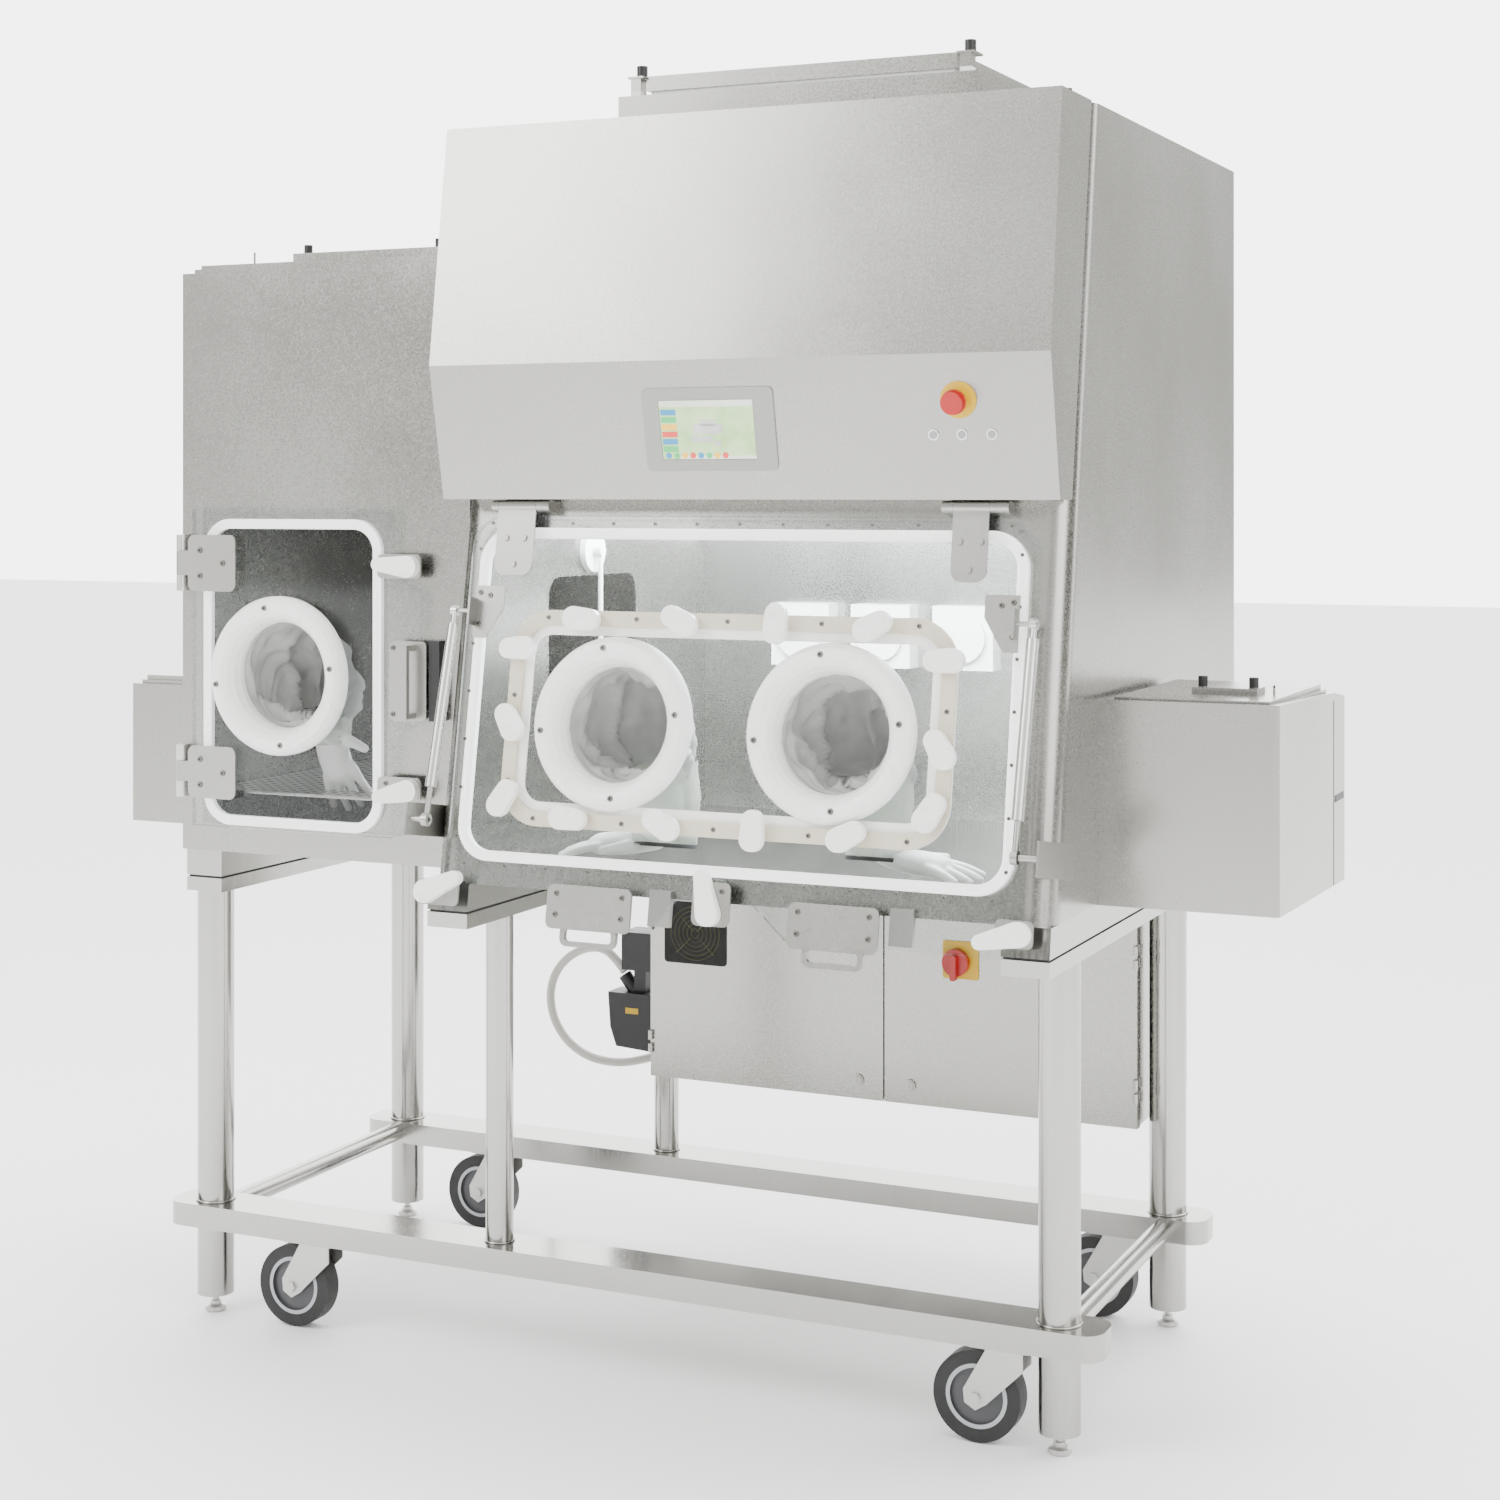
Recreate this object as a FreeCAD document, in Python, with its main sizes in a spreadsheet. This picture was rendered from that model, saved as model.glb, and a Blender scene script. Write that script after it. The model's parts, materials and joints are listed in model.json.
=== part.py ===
import FreeCAD, Part
import Sketcher
import math
import os

V = FreeCAD.Vector
doc = FreeCAD.newDocument("GloveBox")
sheet = doc.addObject("Spreadsheet::Sheet", "Sheet")


# ---------------------------------------------------------------- dimensions
class Q:
    """A number together with the spreadsheet expression that gives it."""

    def __init__(self, num, expr):
        self.n = float(num)
        self.e = expr

    def __add__(self, o):
        o = q(o)
        return Q(self.n + o.n, "(%s + %s)" % (self.e, o.e))

    def __sub__(self, o):
        o = q(o)
        return Q(self.n - o.n, "(%s - %s)" % (self.e, o.e))

    def __mul__(self, o):
        o = q(o)
        return Q(self.n * o.n, "(%s * %s)" % (self.e, o.e))

    def __truediv__(self, o):
        o = q(o)
        return Q(self.n / o.n, "(%s / %s)" % (self.e, o.e))

    def __neg__(self):
        return Q(-self.n, "(0 - %s)" % self.e)

    __radd__ = __add__

    def __rsub__(self, o):
        return q(o) - self

    __rmul__ = __mul__


def q(v):
    return v if isinstance(v, Q) else Q(v, "(%.6f)" % v if v < 0 else "%.6f" % v)


rows = [0]


def dim(alias, value):
    rows[0] += 1
    sheet.set("A%d" % rows[0], alias)
    sheet.set("B%d" % rows[0], "%.6g" % value)
    sheet.setAlias("B%d" % rows[0], alias)
    return Q(value, "Sheet." + alias)


# stand
leg_x = dim("leg_x", 836)
leg_mid_x = dim("leg_mid_x", -212)
leg_y = dim("leg_y", 336)
leg_r = dim("leg_radius", 34.5)
leg_mid_r = dim("leg_mid_radius", 25)
leg_wall = dim("leg_wall", 2.5)
leg_z0 = dim("leg_bottom", 34)
beam_half = dim("beam_half_length", 917)
beam_wid = dim("beam_width", 100)
beam_z0 = dim("beam_bottom", 168)
beam_z1 = dim("beam_top", 211)
beam_wall = dim("beam_wall", 3)
bar_r = dim("crossbar_radius", 19)
rail_w = dim("rail_width", 80)
rail_z0 = dim("rail_bottom", 802)
rail_z1 = dim("rail_top", 828)
pad_z1 = dim("pad_top", 832)
# casters and feet
castor_xl = dim("castor_left", -600)
castor_xr = dim("castor_right", 745)
trail = dim("castor_trail", 45)
wheel_r = dim("wheel_radius", 75)
wheel_w = dim("wheel_width", 38)
axle_z = dim("axle_height", 76.5)
axle_r = dim("axle_radius", 6)
foot_r = dim("foot_radius", 20)
# main chamber
main_x0 = dim("main_left", -252)
main_x1 = dim("main_right", 876)
front_y = dim("front_foot_y", -515)
slope = dim("front_slope", 9.35)
back_y = dim("back_y", 693)
floor_z = dim("floor_bottom", 880)
roof_z = dim("roof_top", 2197)
sheet_t = dim("sheet_metal", 3)
post_r = dim("post_radius", 45)
# hood
hood_ty = dim("hood_top_y", -450)
hood_fy = dim("hood_fold_y", -509)
hood_fz = dim("hood_fold_z", 1777)
hood_by = dim("hood_bottom_y", -461)
hood_bz = dim("hood_bottom_z", 1545)
# main door, in the plane of the sloped front
door_x0 = dim("door_left", -208)
door_x1 = dim("door_right", 825)
door_s1 = dim("door_upper", 690)
door_n0 = dim("door_back", 12)
door_n1 = dim("door_front", 24)
hinge_s = dim("hinge_up", 707)
hinge_n = dim("hinge_out", 22)
win_x = dim("window_mid", 308)
win_hw = dim("window_half_width", 505)
win_s = dim("window_mid_up", 380)
win_hh = dim("window_half_height", 290)
win_r = dim("window_corner", 62)
seal_b = dim("seal_band", 18)
panel_x = dim("panel_mid", 302)
panel_s = dim("panel_mid_up", 339)
panel_hw = dim("panel_half_width", 400)
panel_hh = dim("panel_half_height", 177)
panel_r = dim("panel_corner", 67)
panel_t = dim("panel_thickness", 10)
ring_over = dim("clamp_overhang", 8)
ring_b = dim("clamp_band", 26)
port_dx = dim("port_spacing_half", 199)
port_s = dim("port_up", 333)
port_ro = dim("port_outer_radius", 147)
port_ri = dim("port_inner_radius", 98)
# gas struts
strut_l = dim("strut_left_x", -221)
strut_r = dim("strut_right_x", 837)
ball_ts = dim("ball_upper_up", 518)
ball_tn = dim("ball_upper_out", 42)
ball_ls = dim("ball_lower_up", 153)
ball_ln = dim("ball_lower_out", 80)
cyl_r = dim("strut_cylinder_radius", 10)
rod_r = dim("strut_rod_radius", 5)
# levers
lever_len = dim("lever_centres", 62)
lever_big = dim("lever_big_radius", 20)
lever_tip = dim("lever_tip_radius", 12)
# pass chamber
pass_x0 = dim("pass_left", -886)
pass_y = dim("pass_front_y", -372)
pass_yb = dim("pass_back_y", 372)
pass_z1 = dim("pass_top", 1972)
pwin_x = dim("pass_window_mid", -632)
pwin_hw = dim("pass_window_half_width", 198)
pwin_z = dim("pass_window_mid_up", 1220)
pwin_hh = dim("pass_window_half_height", 287)
pdoor_x0 = dim("pass_door_left", -847)
pdoor_x1 = dim("pass_door_right", -344)
pdoor_xn = dim("pass_door_notch", -404)
phinge_x = dim("pass_hinge_x", -876)
pport_x = dim("pass_port_x", -640)
pport_z = dim("pass_port_z", 1218)
# cabinet
cab_x0 = dim("cabinet_left", -170)
cab_x1 = dim("cabinet_right", 794)
cab_y0 = dim("cabinet_front", 284)
cab_y1 = dim("cabinet_back", 640)
cab_z0 = dim("cabinet_bottom", 378)
cdoor_y0 = dim("cabinet_door_front", 262)
cdoor_y1 = dim("cabinet_door_back", 282)
cdoor_z1 = dim("cabinet_door_top", 798)
cdoor_xl = dim("cabinet_door_left", -211)
cdoor_xm = dim("cabinet_door_split", 295)
cdoor_xr = dim("cabinet_door_right", 798)
lock_r = dim("lock_radius", 9)
# side boxes
rbox_x1 = dim("right_box_end", 1173)
rbox_y0 = dim("right_box_front", -249)
rbox_y1 = dim("right_box_back", 286)
lbox_x0 = dim("left_box_end", -1150)
lbox_y0 = dim("left_box_front", -190)
lbox_y1 = dim("left_box_back", 260)
cable_r = dim("cable_radius", 9)
# the origin lies under the middle of the whole footprint, off the middle of the stand
mid_x = dim("footprint_mid_x", 11.5)
mid_y = dim("footprint_mid_y", 52.8)
doc.recompute()

TH = math.radians(slope.n)
XAX = V(1, 0, 0)
WORLD = FreeCAD.Placement(V(-mid_x.n, -mid_y.n, 0), FreeCAD.Rotation())
FRONT = WORLD.multiply(FreeCAD.Placement(V(0, front_y.n, pad_z1.n), FreeCAD.Rotation(XAX, 90 - slope.n)))
PASS = WORLD.multiply(FreeCAD.Placement(V(0, pass_y.n, 0), FreeCAD.Rotation(XAX, 90)))
HOOD_ANG = math.degrees(math.atan2(hood_fz.n - hood_bz.n, hood_fy.n - hood_by.n))
HOODF = WORLD.multiply(FreeCAD.Placement(V(0, hood_by.n, hood_bz.n), FreeCAD.Rotation(XAX, HOOD_ANG)))


# ------------------------------------------------------------------- helpers
def body(label, place=WORLD):
    b = doc.addObject("PartDesign::Body", label)
    b.Label = label
    b.AllowCompound = True
    b.Placement = place
    return b


def plane_of(b, role):
    for f in b.Origin.OriginFeatures:
        if f.Role == role:
            return f
    raise ValueError(role)


class Draw:
    """One sketch on an origin plane; every coordinate is a driven constraint."""

    def __init__(self, b, role="XY_Plane", off=0, turn=None):
        self.s = doc.addObject("Sketcher::SketchObject", b.Name + "_sk")
        b.addObject(self.s)
        self.s.AttachmentSupport = [(plane_of(b, role), "")]
        self.s.MapMode = "FlatFace"
        off = q(off)
        self.s.AttachmentOffset = FreeCAD.Placement(V(0, 0, off.n), FreeCAD.Rotation())
        if "Sheet" in off.e:
            self.s.setExpression("AttachmentOffset.Base.z", off.e)
        if turn is not None:
            self.s.AttachmentOffset = turn

    def bind(self, kind, args, val):
        val = q(val)
        i = self.s.addConstraint(Sketcher.Constraint(kind, *args, val.n))
        if "Sheet" in val.e:
            self.s.setExpression("Constraints[%d]" % i, val.e)

    def at(self, g, p, x, y):
        self.bind("DistanceX", (-1, 1, g, p), x)
        self.bind("DistanceY", (-1, 1, g, p), y)

    def poly(self, pts):
        pts = [(q(x), q(y)) for x, y in pts]
        ids = []
        for i, a in enumerate(pts):
            b = pts[(i + 1) % len(pts)]
            ids.append(self.s.addGeometry(Part.LineSegment(V(a[0].n, a[1].n, 0), V(b[0].n, b[1].n, 0)), False))
        for i in range(len(ids)):
            j = ids[(i + 1) % len(ids)]
            self.s.addConstraint(Sketcher.Constraint("Coincident", ids[i], 2, j, 1))
        for g, (x, y) in zip(ids, pts):
            self.at(g, 1, x, y)
        return self

    def rect(self, x0, y0, x1, y1):
        return self.poly([(x0, y0), (x1, y0), (x1, y1), (x0, y1)])

    def circle(self, x, y, r):
        x, y, r = q(x), q(y), q(r)
        g = self.s.addGeometry(Part.Circle(V(x.n, y.n, 0), V(0, 0, 1), r.n), False)
        self.bind("Radius", (g,), r)
        self.at(g, 3, x, y)
        return self

    def arc(self, c, r, a0, a1):
        return self.s.addGeometry(
            Part.ArcOfCircle(Part.Circle(V(c[0], c[1], 0), V(0, 0, 1), r), math.radians(a0), math.radians(a1)), False)

    def line(self, a, b):
        return self.s.addGeometry(Part.LineSegment(V(a[0], a[1], 0), V(b[0], b[1], 0)), False)

    def join(self, chain):
        n = len(chain)
        for i in range(n):
            self.s.addConstraint(Sketcher.Constraint("Tangent", chain[i], 2, chain[(i + 1) % n], 1))

    def round_rect(self, cx, cy, hw, hh, r):
        cx, cy, hw, hh, r = (q(v) for v in (cx, cy, hw, hh, r))
        x0, x1, y0, y1, k = cx.n - hw.n, cx.n + hw.n, cy.n - hh.n, cy.n + hh.n, r.n
        corners = [(x1 - k, y1 - k, 0), (x0 + k, y1 - k, 90), (x0 + k, y0 + k, 180), (x1 - k, y0 + k, 270)]
        arcs = [self.arc(c, k, c[2], c[2] + 90) for c in corners]
        ends = [((x1 - k, y1), (x0 + k, y1)), ((x0, y1 - k), (x0, y0 + k)),
                ((x0 + k, y0), (x1 - k, y0)), ((x1, y0 + k), (x1, y1 - k))]
        lines = [self.line(a, b) for a, b in ends]
        self.join([g for pair in zip(arcs, lines) for g in pair])
        self.s.addConstraint(Sketcher.Constraint("Horizontal", lines[0]))
        self.s.addConstraint(Sketcher.Constraint("Vertical", lines[1]))
        self.s.addConstraint(Sketcher.Constraint("Horizontal", lines[2]))
        self.s.addConstraint(Sketcher.Constraint("Vertical", lines[3]))
        self.bind("Radius", (arcs[0],), r)
        self.s.addConstraint(Sketcher.Constraint("Equal", arcs[0], arcs[2]))
        self.at(arcs[0], 3, cx + hw - r, cy + hh - r)
        self.at(arcs[2], 3, cx - hw + r, cy - hh + r)
        return self

    def teardrop(self, x0, y0, r0, x1, y1, r1):
        """Outline around two circles, big one first."""
        x0, y0, r0, x1, y1, r1 = (q(v) for v in (x0, y0, r0, x1, y1, r1))
        dx, dy = x1.n - x0.n, y1.n - y0.n
        base = math.degrees(math.atan2(dy, dx))
        open_ = math.degrees(math.acos((r0.n - r1.n) / math.hypot(dx, dy)))

        def on(cx, cy, r, ang):
            return (cx + r * math.cos(math.radians(ang)), cy + r * math.sin(math.radians(ang)))
        big = self.arc((x0.n, y0.n), r0.n, base + open_, base - open_ + 360)
        l0 = self.line(on(x0.n, y0.n, r0.n, base - open_), on(x1.n, y1.n, r1.n, base - open_))
        tip = self.arc((x1.n, y1.n), r1.n, base - open_, base + open_)
        l1 = self.line(on(x1.n, y1.n, r1.n, base + open_), on(x0.n, y0.n, r0.n, base + open_))
        self.join([big, l0, tip, l1])
        self.bind("Radius", (big,), r0)
        self.bind("Radius", (tip,), r1)
        self.at(big, 3, x0, y0)
        self.at(tip, 3, x1, y1)
        return self


def pad(b, d, length, rev=False, mid=False):
    length = q(length)
    f = doc.addObject("PartDesign::Pad", b.Name + "_pad")
    b.addObject(f)
    f.Profile = d.s
    f.Length = length.n
    if "Sheet" in length.e:
        f.setExpression("Length", length.e)
    f.Reversed = rev
    f.Midplane = mid
    return f


def pocket(b, d, length=None, rev=False, mid=False):
    f = doc.addObject("PartDesign::Pocket", b.Name + "_cut")
    b.addObject(f)
    f.Profile = d.s
    if length is None:
        f.Type = 1
        f.Midplane = True
    else:
        length = q(length)
        f.Length = length.n
        if "Sheet" in length.e:
            f.setExpression("Length", length.e)
        f.Reversed = rev
        f.Midplane = mid
    return f


def block(b, x0, y0, z0, x1, y1, z1):
    """A box between two corners, drawn on the body's XY plane."""
    return pad(b, Draw(b, "XY_Plane", z0).rect(x0, y0, x1, y1), q(z1) - z0)


def disc(b, x, y, z0, z1, r, hole=None):
    d = Draw(b, "XY_Plane", z0).circle(x, y, r)
    if hole is not None:
        d.circle(x, y, hole)
    return pad(b, d, q(z1) - z0)


def cyl_x(b, y, z, x0, x1, r, hole=None):
    """Round bar along X."""
    d = Draw(b, "YZ_Plane", x0).circle(y, z, r)
    if hole is not None:
        d.circle(y, z, hole)
    return pad(b, d, q(x1) - x0)


def cyl_y(b, x, z, y0, y1, r, hole=None):
    """Round bar along Y; the XZ plane's normal is -Y."""
    d = Draw(b, "XZ_Plane", -q(y1)).circle(x, z, r)
    if hole is not None:
        d.circle(x, z, hole)
    return pad(b, d, q(y1) - y0)


def hole_x(b, y, z, x0, x1, r):
    return pocket(b, Draw(b, "YZ_Plane", x1).circle(y, z, r), q(x1) - x0)


def hole_y(b, x, z, y0, y1, r):
    return pocket(b, Draw(b, "XZ_Plane", -q(y0)).circle(x, z, r), q(y1) - y0)


def hole_z(b, x, y, z0, z1, r):
    return pocket(b, Draw(b, "XY_Plane", z1).circle(x, y, r), q(z1) - z0)


def cut_box(b, x0, y0, z0, x1, y1, z1):
    return pocket(b, Draw(b, "XY_Plane", z1).rect(x0, y0, x1, y1), q(z1) - z0)


def turned(b, x, y, pts):
    """Revolve a profile of (radius, height) about the vertical line through (x, y)."""
    d = Draw(b, "XZ_Plane", -q(y)).poly([(q(x) + r, h) for r, h in pts])
    f = doc.addObject("PartDesign::Revolution", b.Name + "_rev")
    b.addObject(f)
    axis = d.s.addGeometry(Part.LineSegment(V(q(x).n, 0, 0), V(q(x).n, 10, 0)), True)
    d.s.addConstraint(Sketcher.Constraint("Vertical", axis))
    d.at(axis, 1, x, 0)
    d.bind("DistanceY", (axis, 1, axis, 2), 10)
    f.Profile = d.s
    f.ReferenceAxis = (d.s, ["Axis0"])
    f.Angle = 360
    return f


def soften(b, radius, test):
    """Fillet the edges of the body's tip that pass the test."""
    doc.recompute()
    tip = b.Tip
    names = ["Edge%d" % (i + 1) for i, e in enumerate(tip.Shape.Edges) if test(e)]
    f = doc.addObject("PartDesign::Fillet", b.Name + "_fil")
    b.addObject(f)
    f.Base = (tip, names)
    radius = q(radius)
    f.Radius = radius.n
    if "Sheet" in radius.e:
        f.setExpression("Radius", radius.e)
    return f


def along(axis):
    def test(e):
        if not isinstance(e.Curve, Part.Line):
            return False
        return abs(abs(e.Curve.Direction.dot(axis)) - 1) < 1e-6
    return test


# --------------------------------------------------------------------- stand
b = body("stand_frame")
for y in (-leg_y, leg_y):
    block(b, -beam_half, y - beam_wid / 2, beam_z0, beam_half, y + beam_wid / 2, beam_z1)
soften(b, 36, along(V(0, 0, 1)))
for y in (-leg_y, leg_y):
    w, hw = beam_wall, beam_wid / 2
    cut_box(b, 40 - beam_half, y - hw + w, beam_z0 + w, beam_half - 40, y + hw - w, beam_z1 - w)
for x in (-leg_x, leg_x):
    cyl_y(b, x, (beam_z0 + beam_z1) / 2, beam_wid / 2 - leg_y, leg_y - beam_wid / 2, bar_r)
for x in (-leg_x, leg_x):
    for y in (-leg_y, leg_y):
        disc(b, x, y, leg_z0, rail_z0, leg_r)
for y in (-leg_y, leg_y):
    disc(b, leg_mid_x, y, beam_z1, rail_z0, leg_mid_r)
for x, y0, y1 in ((-leg_x, pass_y, pass_yb), (leg_mid_x, front_y, cab_y1), (leg_x, front_y, cab_y1)):
    block(b, x - rail_w / 2, y0, rail_z0, x + rail_w / 2, y1, rail_z1)
block(b, rail_w / 2 - leg_x, leg_y - 30, rail_z0, leg_mid_x - rail_w / 2, leg_y + 30, rail_z1)
for x in (castor_xl, castor_xr):
    for y in (-leg_y, leg_y):
        block(b, x - 50, y - 42, beam_z0 - 4, x + 50, y + 42, beam_z0)
for x in (-leg_x, leg_x):
    for y in (-leg_y, leg_y):
        hole_z(b, x, y, leg_z0 + 26, rail_z0, leg_r - leg_wall)
        hole_z(b, x, y, leg_z0, leg_z0 + 26, 6.1)
for y in (-leg_y, leg_y):
    hole_z(b, leg_mid_x, y, beam_z1, rail_z0, leg_mid_r - leg_wall)

b = body("rubber_pads")
for x, y0, y1 in ((-leg_x, pass_y, pass_yb), (leg_mid_x, front_y, cab_y1), (leg_x, front_y, cab_y1)):
    block(b, x - rail_w / 2 + 3, y0 + 4, rail_z1, x + rail_w / 2 - 3, y1 - 4, pad_z1)

# ------------------------------------------------------------- castors, feet
SPOTS = (("front_left", castor_xl, -leg_y), ("front_right", castor_xr, -leg_y),
         ("rear_left", castor_xl, leg_y), ("rear_right", castor_xr, leg_y))
for tag, x, y in SPOTS:
    ax = x - trail
    b = body("caster_fork_" + tag)
    disc(b, x, y, beam_z0 - 8.5, beam_z0 - 4.3, 30)
    block(b, x - 28, y - 25, beam_z0 - 12.5, x + 36, y + 25, beam_z0 - 8.5)
    for y0, y1 in ((y - 25, y - 21.5), (y + 21.5, y + 25)):
        d = Draw(b, "XZ_Plane", -y1).poly([(x - 28, beam_z0 - 12), (ax - 21, axle_z + 12), (ax - 19, axle_z - 10),
                                           (ax, axle_z - 21), (ax + 19, axle_z - 9), (x + 36, beam_z0 - 40),
                                           (x + 36, beam_z0 - 12)])
        pad(b, d, y1 - y0)
    cyl_y(b, ax, axle_z, y - 24, y + 24, axle_r)
    for y0, y1 in ((y - 31, y - 25), (y + 25, y + 31)):
        hexa = [(ax + 10 * math.cos(math.radians(60 * k)), axle_z + 10 * math.sin(math.radians(60 * k)))
                for k in range(6)]
        pad(b, Draw(b, "XZ_Plane", -y1).poly(hexa), y1 - y0)
    b = body("caster_wheel_" + tag)
    cyl_y(b, ax, axle_z, y - wheel_w / 2, y + wheel_w / 2, wheel_r, axle_r + 0.05)
    for y0, y1 in ((y - wheel_w / 2, y - wheel_w / 2 + 7), (y + wheel_w / 2 - 7, y + wheel_w / 2)):
        pocket(b, Draw(b, "XZ_Plane", -y0).circle(ax, axle_z, 46).circle(ax, axle_z, 17), y1 - y0)

for tag, sx, sy in (("front_left", -1, -1), ("front_right", 1, -1), ("rear_left", -1, 1), ("rear_right", 1, 1)):
    b = body("levelling_foot_" + tag)
    turned(b, sx * leg_x, sy * leg_y,
           [(0, 0), (foot_r - 2, 0), (foot_r, 3), (foot_r - 1, 9), (foot_r - 7, 12), (10, 12), (10, 19),
            (6, 19), (6, 88), (0, 88)])

# -------------------------------------------------------------- main chamber
TAN = math.tan(TH)


def face_y(z, inset=0.0):
    """Y of the sloped front plane at height z, moved back along its normal."""
    return front_y.n + (z - pad_z1.n) * TAN + inset / math.cos(TH)


b = body("chamber_base")
for x0, x1 in ((main_x0, main_x0 + rail_w), (main_x1 - rail_w, main_x1)):
    d = Draw(b, "YZ_Plane", x0).poly([(front_y, pad_z1), (front_y + (floor_z - pad_z1) * TAN, floor_z),
                                      (back_y, floor_z), (back_y, pad_z1)])
    pad(b, d, x1 - x0)
block(b, -leg_x - rail_w / 2, pass_y, pad_z1, -leg_x + rail_w / 2, pass_yb, floor_z)
block(b, main_x0 + sheet_t, face_y(floor_z.n, post_r.n + 2), floor_z, main_x1 - sheet_t, back_y - sheet_t, floor_z + 4)

for label, x in (("side_panel_left", main_x0), ("side_panel_right", main_x1 - sheet_t)):
    b = body(label)
    d = Draw(b, "YZ_Plane", x).poly([(face_y(floor_z.n, post_r.n), floor_z), (face_y(roof_z.n, post_r.n), roof_z),
                                     (back_y, roof_z), (back_y, floor_z)])
    if label == "side_panel_left":
        d.round_rect(90, 1215, 180, 180, 40)
    pad(b, d, sheet_t)

b = body("rear_panel")
x0, x1 = main_x0 + sheet_t, main_x1 - sheet_t
block(b, x0, back_y - sheet_t, floor_z, x1, back_y, roof_z)
block(b, x0, face_y(roof_z.n, post_r.n), roof_z - sheet_t, x1, back_y, roof_z)
block(b, main_x0 + post_r, face_y(roof_z.n, 4), roof_z - sheet_t, main_x1 - post_r, face_y(roof_z.n, 60), roof_z)

b = body("interior_liner")
block(b, x0, 595, floor_z + 4, x1, 598, 1620)
block(b, x0, face_y(1620, post_r.n), 1617, x1, 598, 1620)

b = body("front_frame", FRONT)
mid_x = (main_x0 + main_x1) / 2
s0 = Q((floor_z.n - pad_z1.n) / math.cos(TH), "((Sheet.floor_bottom - Sheet.pad_top) / %.8f)" % math.cos(TH))
s1 = Q((roof_z.n - pad_z1.n) / math.cos(TH), "((Sheet.roof_top - Sheet.pad_top) / %.8f)" % math.cos(TH))
d = Draw(b, "XY_Plane", -sheet_t).rect(main_x0 + post_r, s0, main_x1 - post_r, s1)
d.round_rect(win_x, win_s, win_hw - 14, win_hh - 14, win_r - 14)
pad(b, d, sheet_t)
for cx, a0, sx in ((main_x1 - post_r, 270, 1), (main_x0 + post_r, 180, -1)):
    d = Draw(b, "XZ_Plane", -(s1 + 10))
    ro, ri = post_r.n, post_r.n - sheet_t.n
    outer = d.arc((cx.n, -ro), ro, a0 - 270 if sx > 0 else 90, 90 if sx > 0 else 180)
    inner = d.arc((cx.n, -ro), ri, a0 - 270 if sx > 0 else 90, 90 if sx > 0 else 180)
    flat = d.line((cx.n, -ro + ri), (cx.n, 0))
    side = d.line((cx.n + sx * ro, -ro), (cx.n + sx * ri, -ro))
    for ga, pa, gb, pb in ((outer, 2 if sx > 0 else 1, flat, 2), (inner, 2 if sx > 0 else 1, flat, 1),
                           (outer, 1 if sx > 0 else 2, side, 1), (inner, 1 if sx > 0 else 2, side, 2)):
        d.s.addConstraint(Sketcher.Constraint("Coincident", ga, pa, gb, pb))
    d.s.addConstraint(Sketcher.Constraint("Vertical", flat))
    d.s.addConstraint(Sketcher.Constraint("Horizontal", side))
    d.s.addConstraint(Sketcher.Constraint("Coincident", outer, 3, inner, 3))
    d.bind("Radius", (outer,), post_r)
    d.bind("Radius", (inner,), post_r - sheet_t)
    d.at(outer, 3, cx, -post_r)
    pad(b, d, s1 - s0 + 10)
for s_end, far in ((s0, -30), (s1, 30)):
    tri = [(s_end - TAN, 1), (s_end + 60 * TAN, -60), (s_end + far, -60), (s_end + far, 1)]
    pocket(b, Draw(b, "YZ_Plane", mid_x).poly(tri), main_x1 - main_x0 + 10, mid=True)

b = body("hood")
back_top, back_bot = face_y(roof_z.n), face_y(hood_bz.n)
outer = [(hood_ty, roof_z), (hood_fy, hood_fz), (hood_by, hood_bz), (back_bot, hood_bz), (back_top, roof_z)]
pad(b, Draw(b, "YZ_Plane", mid_x).poly(outer), main_x1 - main_x0, mid=True)
inner = [(hood_ty + 4, roof_z - 3), (hood_fy + 3, hood_fz), (hood_by + 3, hood_bz + 3), (back_bot - 2.5, hood_bz + 3),
         (back_top - 3.5, roof_z - 3)]
pocket(b, Draw(b, "YZ_Plane", mid_x).poly(inner), main_x1 - main_x0 - 6, mid=True)

b = body("filter_housing")
block(b, mid_x - 348, -212, roof_z, mid_x + 348, 400, roof_z + 78)
cut_box(b, mid_x - 344, -208, roof_z + 4, mid_x + 344, 396, roof_z + 74)
block(b, mid_x - 292, -190, roof_z + 78, mid_x + 292, 380, roof_z + 87)
block(b, mid_x - 298, -196, roof_z + 87, mid_x + 298, 386, roof_z + 114)
for y0 in (-205, 350):
    for sx in (-1, 1):
        cx = mid_x + sx * 316
        block(b, cx - 10, y0, roof_z + 78, cx + 10, y0 + 24, roof_z + 110)
        block(b, cx - 16, y0 - 2, roof_z + 110, cx + 16, y0 + 46, roof_z + 114)
        disc(b, cx, y0 + 26, roof_z + 114, roof_z + 136, 10)

b = body("hmi_panel", HOODF)
d = Draw(b, "XY_Plane").round_rect(278, 119.5, 120.5, 70.5, 10)
pad(b, d, 3)
pocket(b, Draw(b, "XY_Plane", 3).round_rect(275, 119, 87, 51, 3), 1.2)
soften(b, sheet_t / 6, lambda e: isinstance(e.Curve, Part.Circle) and abs(e.CenterOfMass.z - 3) < 0.01
       and e.Curve.Radius > 9)

b = body("hood_fittings", HOODF)
disc(b, 719, 162, 0, 2.5, leg_r - 4.5, 11.3)
disc(b, 719, 162, 2.5, 8, 14, 11.3)
for x in (673, 721, 771):
    disc(b, x, 106, 0, 2, lock_r)
b = body("estop_button", HOODF)
disc(b, 719, 162, 5, 20, 11)
disc(b, 719, 162, 20, 27, 20)
disc(b, 719, 162, 27, 37, leg_r - 16.5)

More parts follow.
